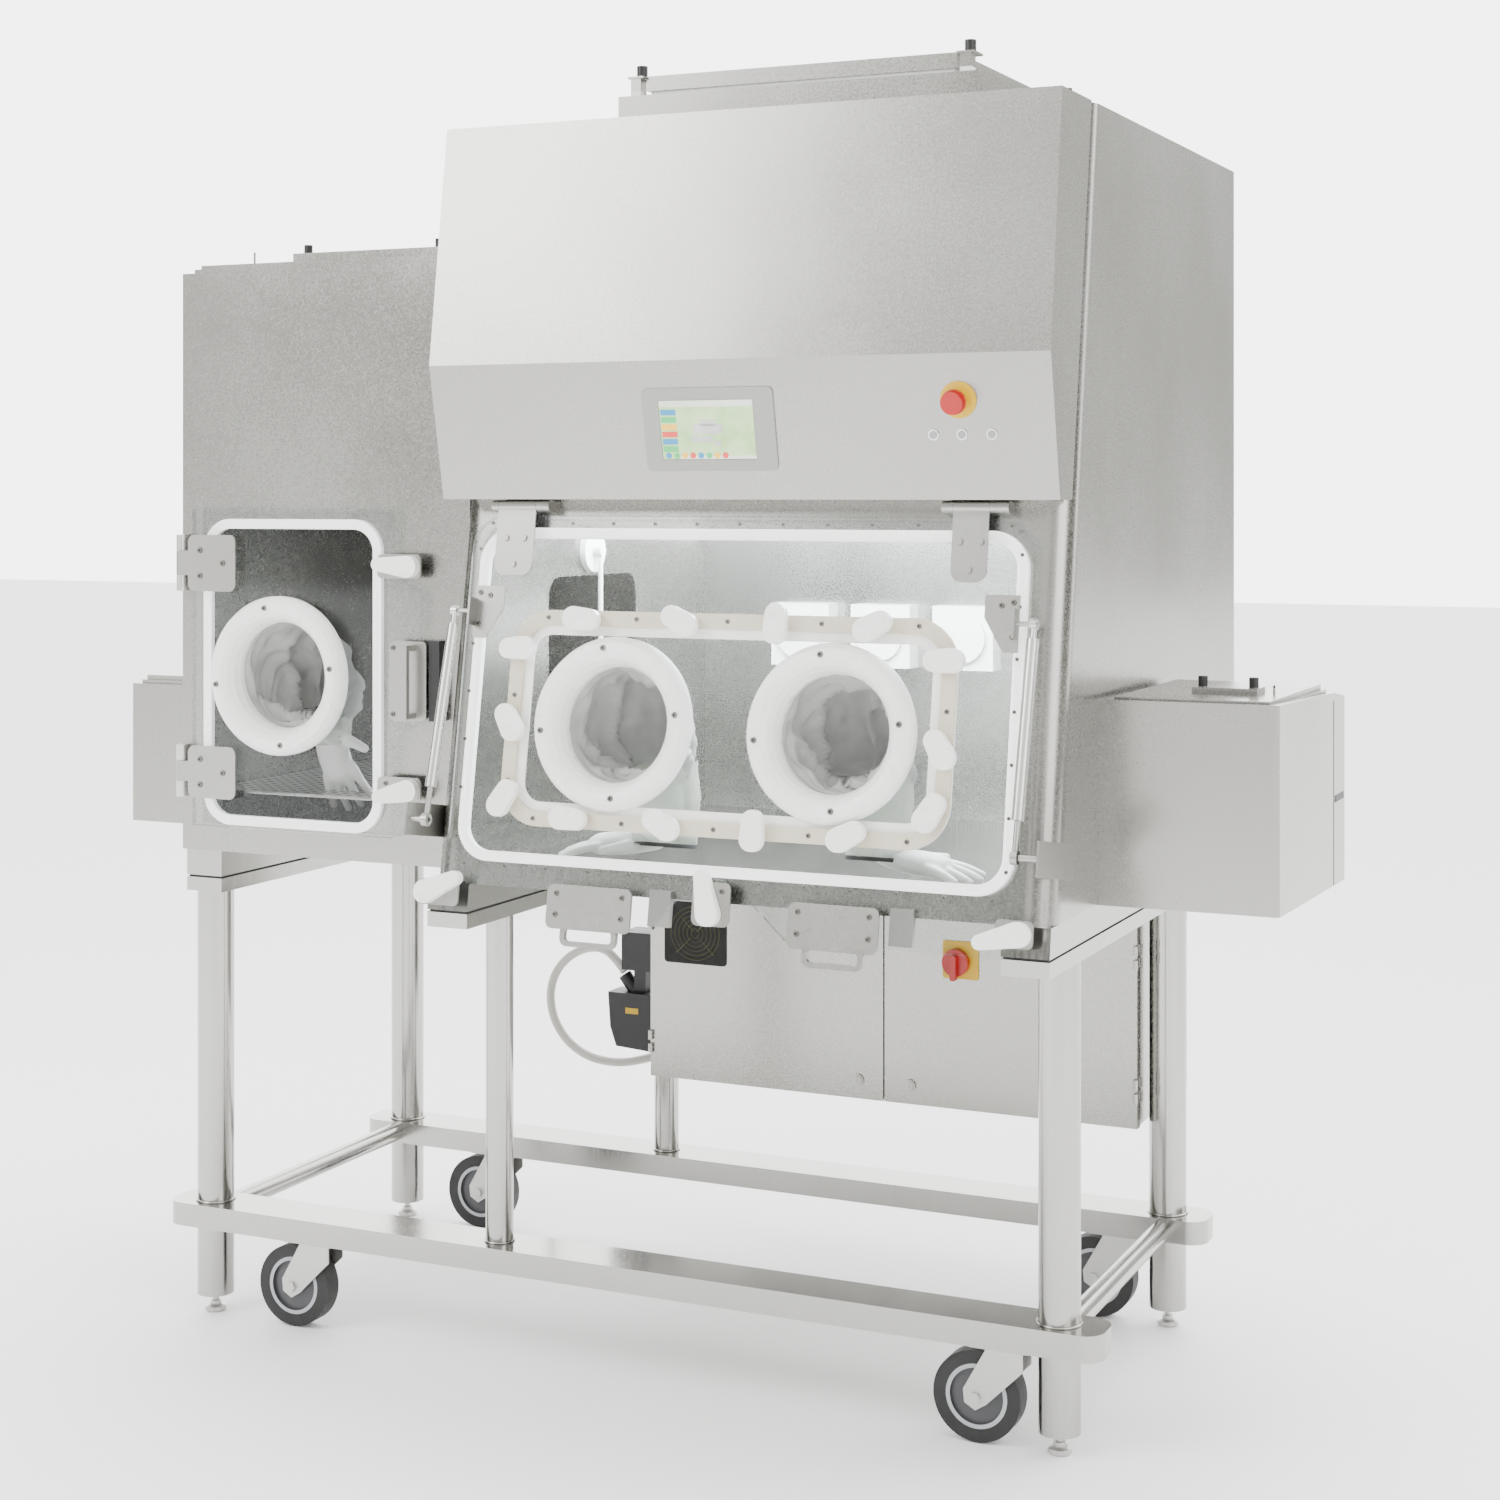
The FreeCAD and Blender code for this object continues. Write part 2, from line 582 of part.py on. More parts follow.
# ------------------------------------------------------------------ side box
def clamp_lid(b, x0, y0, x1, y1, z, kx0, kx1, ky):
    """Two-step lid with a clamp bridge and two thumb screws."""
    block(b, x0 + 14, y0 + 12, z, x1 - 12, y1 - 12, z + 7)
    block(b, x0 + 20, y0 + 20, z + 7, x1 - 20, y1 - 20, z + 16)
    block(b, kx0 - 12, ky, z + 16, kx1 + 12, ky + 60, z + 27)
    for kx in (kx0, kx1):
        disc(b, kx, ky + 30, z + 27, z + 44, 8)


b = body("side_box_right")
x0, x1, y0, y1 = main_x1, rbox_x1, rbox_y0, rbox_y1
d = Draw(b, "YZ_Plane", x0).poly([(y0, 877), (y0, 1216), (y1 - 96, 1204), (y1, 1192), (y1, 862)])
pad(b, d, x1 - x0)
soften(b, 8, lambda e: along(V(0, 0, 1))(e) and abs(e.CenterOfMass.y - rbox_y0.n) < 1 and
       abs(e.CenterOfMass.x - rbox_x1.n) < 1)
d = Draw(b, "YZ_Plane", x1 - 4).poly([(y0 + 4, 881), (y0 + 4, 1198), (y1 - 4, 1184), (y1 - 4, 868)])
pocket(b, d, x1 - x0 - 8)
clamp_lid(b, x0, y0, x1, y1 - 90, 1204, 1010, 1096, -120)
disc(b, 1130, -90, 1204, 1236, 2)
b = body("side_box_left")
x0, x1, y0, y1 = lbox_x0, pass_x0, lbox_y0, lbox_y1
block(b, x0, y0, 897, x1, y1, 1173)
cut_box(b, x0 + 4, y0 + 4, 901, x1 - 4, y1 - 4, 1169)
clamp_lid(b, x0, y0, x1, y1, 1173, -1040, -960, 0)
disc(b, -930, -150, 1173, 1200, 2)

# -------------------------------------------------------------- pass chamber
b = body("pass_shell")
x0, x1, yb = pass_x0, main_x0, pass_yb
block(b, x0, pass_y + 3, floor_z, x0 + 3, yb, pass_z1)
block(b, x0 + 3, yb - 3, floor_z, x1, yb, pass_z1)
block(b, x0 + 3, pass_y + 3, pass_z1 - 3, x1, yb - 3, pass_z1)
block(b, x0 + 3, pass_y + 3, floor_z, x1, yb - 3, floor_z + 4)
block(b, x0 + 3, -320, 985, x1 - 6, 320, 988)
block(b, x0 + 3, -320, 988, x0 + 6, 320, 1006)
block(b, x0 + 14, pass_y + 18, pass_z1, x1 - 12, yb - 18, pass_z1 + 9)
block(b, x0 + 22, pass_y + 28, pass_z1 + 9, x1 - 20, yb - 28, pass_z1 + 17)
block(b, -690, -292, pass_z1 + 17, -330, 240, pass_z1 + 38)
for kx in (-676, -384):
    disc(b, kx, -262, pass_z1 + 38, pass_z1 + 56, 8)
disc(b, -758, -320, pass_z1 + 17, pass_z1 + 40, 2)

b = body("pass_front", PASS)
d = Draw(b, "XY_Plane", -sheet_t).rect(pass_x0, floor_z, main_x0, pass_z1)
d.round_rect(pwin_x, pwin_z, pwin_hw - 14, pwin_hh - 14, 46)
pad(b, d, sheet_t)

# ------------------------------------------------------------------- cabinet
b = body("cabinet_shell")
block(b, cab_x0, cab_y0, cab_z0, cab_x1, cab_y1, floor_z)
cut_box(b, cab_x0 + 3, cab_y0, cab_z0 + 3, cab_x1 - 3, cab_y1 - 3, floor_z - 3)
for z0, z1 in ((426, 444), (452, 470), (673, 691), (699, 717)):
    for x0, x1 in ((cab_x1, cdoor_xr + 3.2), (cdoor_xl - 3.2, cab_x0)):
        block(b, x0, cab_y0, z0, x1, cab_y0 + 3, z1)

HR = 4.5
for tag, x0, x1, hx, sx in (("left", cdoor_xl, cdoor_xm - 1.5, cdoor_xl + 2, 1),
                            ("right", cdoor_xm + 1.5, cdoor_xr, cdoor_xr - 2, -1)):
    b = body("cabinet_door_" + tag)
    block(b, x0, cdoor_y0, cab_z0, x1, cdoor_y1, cdoor_z1)
    cut_box(b, x0 + 2, cdoor_y0 + 2, cab_z0 + 2, x1 - 2, cdoor_y1, cdoor_z1 - 2)
    lx = cdoor_xm - sx * 54
    pad(b, Draw(b, "XZ_Plane", -(cdoor_y0 + 2)).circle(lx, cab_z0 + 36, lock_r + 3), 6)
    pocket(b, Draw(b, "XZ_Plane", -(cdoor_y0 - 4)).circle(lx, cab_z0 + 36, lock_r + 0.4), 5)
    if sx > 0:
        pad(b, Draw(b, "XZ_Plane", -q(cdoor_y0)).round_rect(-110, 673, 69, 62, 8), 1.5)
    else:
        pad(b, Draw(b, "XZ_Plane", -q(cdoor_y0)).round_rect(453, 664, 36, 36, 4), 3)
    for z0, z1 in ((426, 444), (452, 470), (673, 691), (699, 717)):
        disc(b, hx, cdoor_y0 - HR, z0, z1, HR)
    b = body("cabinet_lock_" + tag)
    cyl_y(b, lx, cab_z0 + 36, cdoor_y0 - 5.5, cdoor_y0 + 1, lock_r)
    pad(b, Draw(b, "XZ_Plane", -(cdoor_y0 - 5.5)).rect(lx - 1.2, cab_z0 + 30, lx + 1.2, cab_z0 + 42), 1.5)

b = body("isolator_handle")
cyl_y(b, 446, 660, cdoor_y0 - 17, cdoor_y0 - 3.2, leg_r - 8.5)
pad(b, Draw(b, "XZ_Plane", -(cdoor_y0 - 17)).round_rect(446, 652, 6, 24, 4), 12)

b = body("cable_connector")
block(b, -338, 378, 561, cab_x0, 446, 640)
block(b, -319, 398, 512, -292, 426, 561)
d = Draw(b, "XZ_Plane", -q(440)).poly([(-371, 512), (-366, 440), (-352, 400), (cab_x0, 388), (cab_x0, 512)])
pad(b, d, 60)
cyl_x(b, 463, 369, -287, cab_x0, cable_r + 5)
g0, g1 = V(-318, 412, 512), V(-344, 412, 545)
turn = FreeCAD.Placement(V(g0.x, g0.z - 6, -g0.y), FreeCAD.Rotation(V(0, 0, 1), V(g1.x - g0.x, g1.z - g0.z, 0)))
sk = Draw(b, "XZ_Plane", 0, turn).circle(0, 0, cable_r + 5)
pad(b, sk, 6 + math.hypot(26, 33))

# ------------------------------------------------------------ interior parts
b = body("interior_fittings")
for x in (-70, 110, 290):
    block(b, x, 545, 1195, x + 130, 595, 1325)
    cyl_y(b, x + 65, 1260, 537, 545, leg_r + 15.5)
cyl_x(b, 75, 1443, main_x0 + sheet_t, main_x0 + 15, cyl_r + 32)
disc(b, main_x0 + 26, 75, 1180, 1443, rod_r)
cyl_x(b, 75, 1443, main_x0 + 15, main_x0 + 32, cyl_r + 2)

# ------------------------------------------------------------------ main door
STRAPS = ((-159, -84, -172, -58), (687, 748, 667, 781))
b = body("door_main", FRONT)
notch = [(door_x0, -3), (190, -3), (235, 48), (377, 48), (437, -3), (door_x1, -3), (door_x1, door_s1),
         (door_x0, door_s1)]
pad(b, Draw(b, "XY_Plane", door_n0).poly(notch), door_n1 - door_n0)
soften(b, 60, lambda e: along(V(0, 0, 1))(e) and e.CenterOfMass.y > door_s1.n - 1)
d = Draw(b, "XY_Plane", door_n1).round_rect(panel_x, panel_s, panel_hw + 1, panel_hh + 1, panel_r + 1)
pocket(b, d, door_n1 - door_n0)
d = Draw(b, "XY_Plane", 0.4).round_rect(win_x, win_s, win_hw, win_hh, win_r)
d.round_rect(win_x, win_s, win_hw - seal_b, win_hh - seal_b, win_r - seal_b)
pad(b, d, door_n0 - 0.4)

b = body("door_main_fittings", FRONT)
for xa, xb, ea, eb in STRAPS:
    mid = (xa + xb) / 2
    pad(b, Draw(b, "XY_Plane", door_n1).round_rect(mid, 640, (xb - xa) / 2, 56, 20), 4)
    block(b, xa, 660, door_n1, xb, hinge_s, door_n1 + 4)
    cyl_x(b, hinge_s, hinge_n, xa, xb, cyl_r)
    hole_x(b, hinge_s, hinge_n, xa, xb, rod_r + 0.05)
    for x, sy in ((mid, 604), (mid - 18, 650), (mid + 18, 650)):
        disc(b, x, sy, door_n1 + 4, door_n1 + 7, 6)
for xs, side in ((strut_l, 1), (strut_r, -1)):
    inner = xs + side * 30
    pts = [(inner, ball_ts + 47), (inner, ball_ts - 45), (inner + side * 25, ball_ts - 45),
           (inner + side * 58, ball_ts + 10), (inner + side * 58, ball_ts + 47)]
    pad(b, Draw(b, "XY_Plane", door_n1).poly(pts if side < 0 else pts[::-1]), 4)
    xa, xb = (inner, inner + 4) if side > 0 else (inner - 4, inner)
    block(b, xa, ball_ts - 24, door_n1, xb, ball_ts + 24, ball_tn + 10)
    xa, xb = (xs - 9, inner) if side > 0 else (inner, xs + 9)
    cyl_x(b, ball_ts, ball_tn, xa, xb, rod_r - 1)
for cx, hw in ((78.5, 79.5), (521.5, 78.5)):
    pad(b, Draw(b, "XY_Plane", door_n1).round_rect(cx, 23, hw, 37, 12), 5)
    d = Draw(b, "XY_Plane", door_n1 - 9).round_rect(cx, -23, 53, 19, 14).round_rect(cx, -23, 44, 10, 6)
    pad(b, d, 9)
for hx, hs in ((-236, 31), (834, 36)):
    mid = (hx - 208) / 2 + 5 if hx < 0 else (hx + 825) / 2 - 5
    pad(b, Draw(b, "XY_Plane", door_n1).round_rect(mid, hs, abs(hx - mid) + 22, 22, 10), 4)
    disc(b, hx, hs, door_n1 + 4, door_n1 + 18, rod_r)
pad(b, Draw(b, "XY_Plane", door_n1).round_rect(304, 46, 34, 36, 12), 4)
disc(b, 304, 30, door_n1 + 4, door_n1 + 18, rod_r)

b = body("glove_panel", FRONT)
n0 = door_n1 + 0.2 - panel_t
d = Draw(b, "XY_Plane", n0).round_rect(panel_x, panel_s, panel_hw, panel_hh, panel_r)
for sx in (-1, 1):
    d.circle(panel_x + sx * port_dx, port_s, port_ri + 6)
pad(b, d, panel_t)

b = body("glove_clamp_ring", FRONT)
hw, hh, rr = panel_hw + ring_over, panel_hh + ring_over, panel_r + ring_over
d = Draw(b, "XY_Plane", door_n1 + 0.2).round_rect(panel_x, panel_s, hw, hh, rr)
d.round_rect(panel_x, panel_s, hw - ring_b, hh - ring_b, rr - ring_b)
pad(b, d, 10)
d = Draw(b, "XY_Plane", door_n1 + 0.2).round_rect(panel_x, panel_s, hw - ring_b, hh - ring_b, rr - ring_b)
d.round_rect(panel_x, panel_s, hw - ring_b - 16, hh - ring_b - 16, rr - ring_b - 16)
pad(b, d, 4)

PORT = [(port_ri, -4), (port_ri + 6, -4), (port_ri + 6, 24.2), (port_ri + 26, 24.2), (port_ri + 26, 30),
        (port_ro, 30), (port_ro, 42), (port_ro - 4, 51), (port_ro - 11, 58), (port_ro - 20, 60),
        (port_ri + 20, 57), (port_ri + 11, 49), (port_ri + 4, 37), (port_ri, 22)]
SLEEVE = [(0, -6), (port_ri + 10, -6), (port_ri + 4, -60), (port_ri - 14, -120), (port_ri - 30, -170), (0, -170)]
b = body("glove_ports_main", FRONT)
for sx in (-1, 1):
    turned(b, panel_x + sx * port_dx, port_s, PORT)

b = body("sleeves_main", FRONT)
for sx in (-1, 1):
    px = panel_x + sx * port_dx
    turned(b, px, port_s, SLEEVE)
    pts = [(px - 50, port_s - 40), (px - 30, port_s - 130), (px + 5, port_s - 168), (px + 60, port_s - 150),
           (px + 62, port_s - 60), (px + 20, port_s)]
    pad(b, Draw(b, "XY_Plane", -165).poly(pts), 90)
    pts = [(px, port_s - 80), (px + 20, port_s - 186), (px + 105, port_s - 186), (px + 118, port_s - 130),
           (px + 60, port_s - 60)]
    pad(b, Draw(b, "XY_Plane", -200).poly(pts), 60)

KNOBS = ((36, 508), (220, 509), (397, 509), (569, 508), (-85, 455), (-90, 328), (-90, 199), (40, 170), (213, 170),
         (380, 170), (545, 170), (693, 455), (694, 315), (684, 215))
b = body("glove_knobs", FRONT)
for k, (x, sy) in enumerate(KNOBS):
    disc(b, x, sy, door_n1 + 10.2, door_n1 + 32, rod_r)
    ang = math.radians(90 + 31 * ((k * 5) % 7 - 3))
    dx, dy = 15 * math.cos(ang), 15 * math.sin(ang)
    d = Draw(b, "XY_Plane", door_n1 + 20).teardrop(x - dx, sy - dy, 20, x + dx, sy + dy, 18)
    pad(b, d, 14)

# --------------------------------------------------------------- gas struts
for tag, xs, side in (("left", strut_l, -1), ("right", strut_r, 1)):
    tilt = math.degrees(math.atan2(ball_ln.n - ball_tn.n, ball_ts.n - ball_ls.n))
    local = FreeCAD.Placement(V(xs.n, ball_ts.n, ball_tn.n), FreeCAD.Rotation(XAX, -tilt))
    place = FRONT.multiply(local)
    span = math.hypot(ball_ln.n - ball_tn.n, ball_ts.n - ball_ls.n)
    b = body("strut_cylinder_" + tag, place)
    cyl_x(b, 0, 0, -5.6, 5.6, cyl_r - 1)
    cyl_y(b, 0, 0, -24, -8, rod_r)
    cyl_y(b, 0, 0, -310, -24, cyl_r)
    hole_y(b, 0, 0, -310, -30, rod_r + 0.05)
    hole_x(b, 0, 0, -5.6, 5.6, rod_r - 0.95)
    b = body("strut_rod_" + tag, place)
    cyl_y(b, 0, 0, 10 - span, -120, rod_r)
    cyl_x(b, -span, 0, -5.6, 5.6, cyl_r + 1)
    hole_x(b, -span, 0, -5.6, 5.6, rod_r - 0.5)

b = body("frame_brackets", FRONT)
for xa, xb, ea, eb in STRAPS:
    for x0, x1 in ((ea, xa - 0.5), (xb + 0.5, eb)):
        cyl_x(b, hinge_s, hinge_n, x0, x1, cyl_r)
        block(b, x0, hinge_s - 10, 0, x1, hinge_s + 10, hinge_n)
    cyl_x(b, hinge_s, hinge_n, ea, eb, rod_r)
for x0, x1 in ((182, 222), (612, 652)):
    block(b, x0, 2, 0, x1, 62, 11)
for xf, xs, side in ((main_x0, strut_l, -1), (main_x1, strut_r, 1)):
    xa, xb = (xf - 4, xf) if side < 0 else (xf, xf + 4)
    block(b, xa, ball_ls - 28, -90, xb, ball_ls + 28, ball_ln + 14)
    xa, xb = (xf - 4, xs - 7) if side < 0 else (xs + 7, xf + 4)
    cyl_x(b, ball_ls, ball_ln, xa, xb, rod_r)

# -------------------------------------------------------------------- levers
LEVERS = (("main_left", FRONT, -236, 31, -172, 61, door_n1 + 5), ("main_centre", FRONT, 304, 30, 292, 78, door_n1 + 5),
          ("main_right", FRONT, 834, 36, 758, 16, door_n1 + 5),
          ("pass_upper", PASS, -361, 1423, -464, 1429, 26), ("pass_lower", PASS, -361, 1020, -464, 997, 26))
for tag, place, hx, hs, tx, ts, n in LEVERS:
    b = body("lever_" + tag, place)
    k = lever_len.n / math.hypot(tx - hx, ts - hs)
    d = Draw(b, "XY_Plane", n).teardrop(hx, hs, lever_big, hx + (tx - hx) * k, hs + (ts - hs) * k, lever_tip)
    pad(b, d, 16)
    hole_z(b, hx, hs, n, n + 13.2, rod_r + 0.05)

# ----------------------------------------------------------------- pass door
b = body("door_pass", PASS)
outline = [(pdoor_x0, 930), (pdoor_xn, 930), (pdoor_xn, 1115), (pdoor_x1, 1147), (pdoor_x1, 1376), (pdoor_xn, 1408),
           (pdoor_xn, 1525), (pdoor_x0, 1525)]
d = Draw(b, "XY_Plane", 10).poly(outline)
d.circle(pport_x, pport_z, port_ri + 6)
pad(b, d, 12)
d = Draw(b, "XY_Plane", 0.4).round_rect(pwin_x, pwin_z, pwin_hw, pwin_hh, 60)
d.round_rect(pwin_x, pwin_z, pwin_hw - seal_b, pwin_hh - seal_b, 42)
pad(b, d, 9.6)

b = body("door_pass_fittings", PASS)
HZ = ((1371, 1477), (982, 1080))
for z0, z1 in HZ:
    pad(b, Draw(b, "XY_Plane", 22).round_rect(-800, (z0 + z1) / 2, 54, (z1 - z0) / 2, 14), 4)
    block(b, phinge_x, z0 + 30, 22, -846, z1 - 30, 26)
    cyl_y(b, phinge_x, 16, z0 + 30, z1 - 30, cyl_r)
    hole_y(b, phinge_x, 16, z0 + 30, z1 - 30, rod_r + 0.05)
pad(b, Draw(b, "XY_Plane", 22).round_rect(-367, 1216, 39, 72, 10), 4)
block(b, -362, 1150, 47, -350, 1282, 57)
for z in (1150, 1272):
    block(b, -362, z, 26, -350, z + 10, 47)
for z in (1423, 1020):
    pad(b, Draw(b, "XY_Plane", 22).round_rect(-386, z, 46, 22, 10), 4)
    disc(b, -361, z, 26, 39, rod_r)

b = body("glove_port_pass", PASS)
turned(b, pport_x, pport_z, [(r, n - 2.2 if n > 0 else n) for r, n in PORT])
b = body("sleeve_pass", PASS)
turned(b, pport_x, pport_z, SLEEVE)
pts = [(-700, 1200), (-690, 1060), (-640, 1020), (-580, 1030), (-590, 1180)]
pad(b, Draw(b, "XY_Plane", -165).poly(pts), 80)

b = body("pass_hinge_pins", PASS)
for z0, z1 in HZ:
    for a0, a1 in ((z0, z0 + 29.5), (z1 - 29.5, z1)):
        cyl_y(b, phinge_x, 16, a0, a1, cyl_r)
        block(b, phinge_x - 10, a0, 0, phinge_x + 8, a1, 14)
    cyl_y(b, phinge_x, 16, z0, z1, rod_r)
block(b, -325, 1145, 0, -303, 1290, 22)

# --------------------------------------------------------------- power cable
def fillet_path(pts):
    """Straight runs joined by tangent arcs, as one wire; also returns the arc radii."""
    pts = [V(*p) for p in pts]
    edges, radii, start = [], [], pts[0]
    for a, b_, c in zip(pts, pts[1:], pts[2:]):
        u, w = (a - b_), (c - b_)
        lu, lw = u.Length, w.Length
        u.normalize()
        w.normalize()
        half = (math.pi - math.acos(max(-1, min(1, u.dot(w))))) / 2
        cut = 0.45 * min(lu, lw)
        radii.append(cut / math.tan(half))
        p0, p1 = b_ + u * cut, b_ + w * cut
        bis = (u + w)
        bis.normalize()
        centre = b_ + bis * (radii[-1] / math.cos(half))
        mid = centre - bis * radii[-1]
        edges.append(Part.LineSegment(start, p0).toShape())
        edges.append(Part.Arc(p0, mid, p1).toShape())
        start = p1
    edges.append(Part.LineSegment(start, pts[-1]).toShape())
    return Part.Wire(edges), radii


CABLE = [(-348, 412, 550), (-370, 413, 577), (-405, 415, 597), (-450, 416, 590), (-492, 415, 565), (-521, 414, 525),
         (-529, 413, 478), (-517, 413, 430), (-488, 415, 390), (-445, 420, 362), (-398, 428, 352), (-358, 440, 352),
         (-323, 453, 360), (-303, 460, 366), (-289.8, 462.6, 368.6)]
path, radii = fillet_path(CABLE)
tangent = V(*CABLE[1]) - V(*CABLE[0])
ring = Part.Wire([Part.Circle(V(*CABLE[0]), tangent, cable_r.n).toShape()])
print("cable radii", [round(r) for r in radii])
cable = doc.addObject("Part::Feature", "power_cable")
cable.Label = "power_cable"
cable.Shape = path.makePipeShell([ring], True, False)
cable.Placement = WORLD
print("cable volume", cable.Shape.Volume, math.pi * cable_r.n ** 2 * path.Length)

# -------------------------------------------------------------------- export
doc.recompute()
os.makedirs("parts", exist_ok=True)
bad = [o.Name for o in doc.Objects if "Invalid" in o.State or "Error" in o.State]
if bad:
    raise SystemExit("not computed: " + ", ".join(bad))
nodes = [o for o in doc.Objects if o.TypeId == "PartDesign::Body"] + [cable]
for o in nodes:
    if o.Shape.isNull() or not o.Shape.isValid():
        raise SystemExit("bad shape: " + o.Label)
    o.Shape.exportStep("parts/" + o.Label + ".step")
print(len(nodes), "nodes")
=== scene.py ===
import bpy, bmesh, json, math, random
from mathutils import Matrix, Vector, noise


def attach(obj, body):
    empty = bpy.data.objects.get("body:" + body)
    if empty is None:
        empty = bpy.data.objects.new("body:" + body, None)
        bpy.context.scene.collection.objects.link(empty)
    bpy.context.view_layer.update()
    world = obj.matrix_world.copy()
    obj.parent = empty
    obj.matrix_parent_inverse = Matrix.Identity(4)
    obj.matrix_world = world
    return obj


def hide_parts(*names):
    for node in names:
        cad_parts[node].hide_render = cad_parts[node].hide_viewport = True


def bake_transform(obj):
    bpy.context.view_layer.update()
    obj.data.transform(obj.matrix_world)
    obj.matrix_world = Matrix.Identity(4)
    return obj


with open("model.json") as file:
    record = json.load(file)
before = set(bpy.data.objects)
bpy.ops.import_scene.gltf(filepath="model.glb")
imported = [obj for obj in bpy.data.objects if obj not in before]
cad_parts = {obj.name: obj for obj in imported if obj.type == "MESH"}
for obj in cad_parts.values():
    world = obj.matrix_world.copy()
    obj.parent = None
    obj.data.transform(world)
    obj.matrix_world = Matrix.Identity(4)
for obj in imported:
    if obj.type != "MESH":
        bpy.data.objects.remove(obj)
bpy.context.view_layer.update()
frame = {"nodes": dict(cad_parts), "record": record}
nodes = frame["nodes"]

# The object's plans are drawn from a point midway between its feet, this far from the frame's origin (mm).
MID = Vector((11.5, 52.8, 0))

# ------------------------------------------------------------------ camera
cam_data = bpy.data.cameras.new("camera")
cam = bpy.data.objects.new("camera", cam_data)
bpy.context.scene.collection.objects.link(cam)
cam.location = Vector((2.029, -4.148, 1.557)) - MID / 1000
cam.rotation_euler = (math.radians(90), 0, math.radians(24.6))
cam_data.lens, cam_data.sensor_width = 58.65, 36
cam_data.shift_y = -0.1718
cam_data.clip_end = 60
bpy.context.scene.camera = cam

# ------------------------------------------------------- the object's frames
TH = math.radians(9.35)
UP = Vector((0, math.sin(TH), math.cos(TH)))
OUT = Vector((0, -math.cos(TH), math.sin(TH)))
ORIGIN = Vector((0, -515, 832)) - MID


def front(x, s, n):
    """Metres, from mm along the sloped front: across, up the slope, outward."""
    return (ORIGIN + Vector((x, 0, 0)) + UP * s + OUT * n) / 1000


def passf(x, z, n):
    return (Vector((x, -372 - n, z)) - MID) / 1000


HOOD_UP = Vector((0, -48, 232)).normalized()
HOOD_OUT = Vector((0, -HOOD_UP.z, HOOD_UP.y))


def hood(x, s, n):
    return (Vector((x, -461, 1545)) - MID + HOOD_UP * s + HOOD_OUT * n) / 1000


def cab(x, z, n):
    return (Vector((x, 262 - n, z)) - MID) / 1000


def plain(x, y, z):
    return (Vector((x, y, z)) - MID) / 1000


# --------------------------------------------------------------- materials
class Shader:
    def __init__(self, name):
        self.m = bpy.data.materials.new(name)
        self.m.use_nodes = True
        self.t = self.m.node_tree
        self.t.nodes.clear()
        self.out = self.t.nodes.new("ShaderNodeOutputMaterial")
        self.co = self.t.nodes.new("ShaderNodeTexCoord").outputs["Object"]

    def node(self, kind, **sockets):
        n = self.t.nodes.new(kind)
        for key, val in sockets.items():
            self.put(n.inputs[key.replace("_", " ")], val)
        return n

    def put(self, socket, val):
        if hasattr(val, "links"):
            self.t.links.new(val, socket)
        else:
            socket.default_value = val

    def math(self, op, a, b=0.0):
        n = self.t.nodes.new("ShaderNodeMath")
        n.operation = op
        self.put(n.inputs[0], a)
        self.put(n.inputs[1], b)
        return n.outputs[0]

    def noise(self, scale, detail=3.0, stretch=(1, 1, 1)):
        mp = self.node("ShaderNodeMapping", Vector=self.co)
        mp.inputs["Scale"].default_value = stretch
        tex = self.node("ShaderNodeTexNoise", Vector=mp.outputs[0], Scale=scale, Detail=detail)
        return tex.outputs["Fac"]

    def ramp(self, fac, lo, hi):
        n = self.t.nodes.new("ShaderNodeMapRange")
        self.put(n.inputs["Value"], fac)
        n.inputs["From Min"].default_value, n.inputs["From Max"].default_value = 0.3, 0.7
        n.inputs["To Min"].default_value, n.inputs["To Max"].default_value = lo, hi
        return n.outputs[0]

    def tint(self, fac, a, b):
        n = self.t.nodes.new("ShaderNodeMix")
        n.data_type = "RGBA"
        self.put(n.inputs[0], fac)
        n.inputs[6].default_value, n.inputs[7].default_value = (*a, 1), (*b, 1)
        return n.outputs[2]

    def surf(self, color, rough, metallic=0.0, bump=None, strength=0.1, **more):
        p = self.node("ShaderNodeBsdfPrincipled", Base_Color=color, Roughness=rough, Metallic=metallic)
        for key, val in more.items():
            self.put(p.inputs[key.replace("_", " ")], val)
        if bump is not None:
            n = self.node("ShaderNodeBump", Height=bump, Strength=strength, Distance=0.0008)
            self.t.links.new(n.outputs[0], p.inputs["Normal"])
        return p.outputs[0]

    def mix(self, fac, a, b):
        n = self.t.nodes.new("ShaderNodeMixShader")
        self.put(n.inputs[0], fac)
        self.t.links.new(a, n.inputs[1])
        self.t.links.new(b, n.inputs[2])
        return n.outputs[0]

    def along(self, origin, axis):
        """Distance in metres of the shaded point from origin along axis."""
        sub = self.t.nodes.new("ShaderNodeVectorMath")
        sub.operation = "SUBTRACT"
        self.t.links.new(self.co, sub.inputs[0])
        sub.inputs[1].default_value = origin
        dot = self.t.nodes.new("ShaderNodeVectorMath")
        dot.operation = "DOT_PRODUCT"
        self.t.links.new(sub.outputs[0], dot.inputs[0])
        dot.inputs[1].default_value = axis
        return dot.outputs["Value"]

    def within(self, value, lo, hi):
        return self.math("MULTIPLY", self.math("GREATER_THAN", value, lo), self.math("LESS_THAN", value, hi))

    def done(self, surface):
        self.t.links.new(surface, self.out.inputs["Surface"])
        return self.m


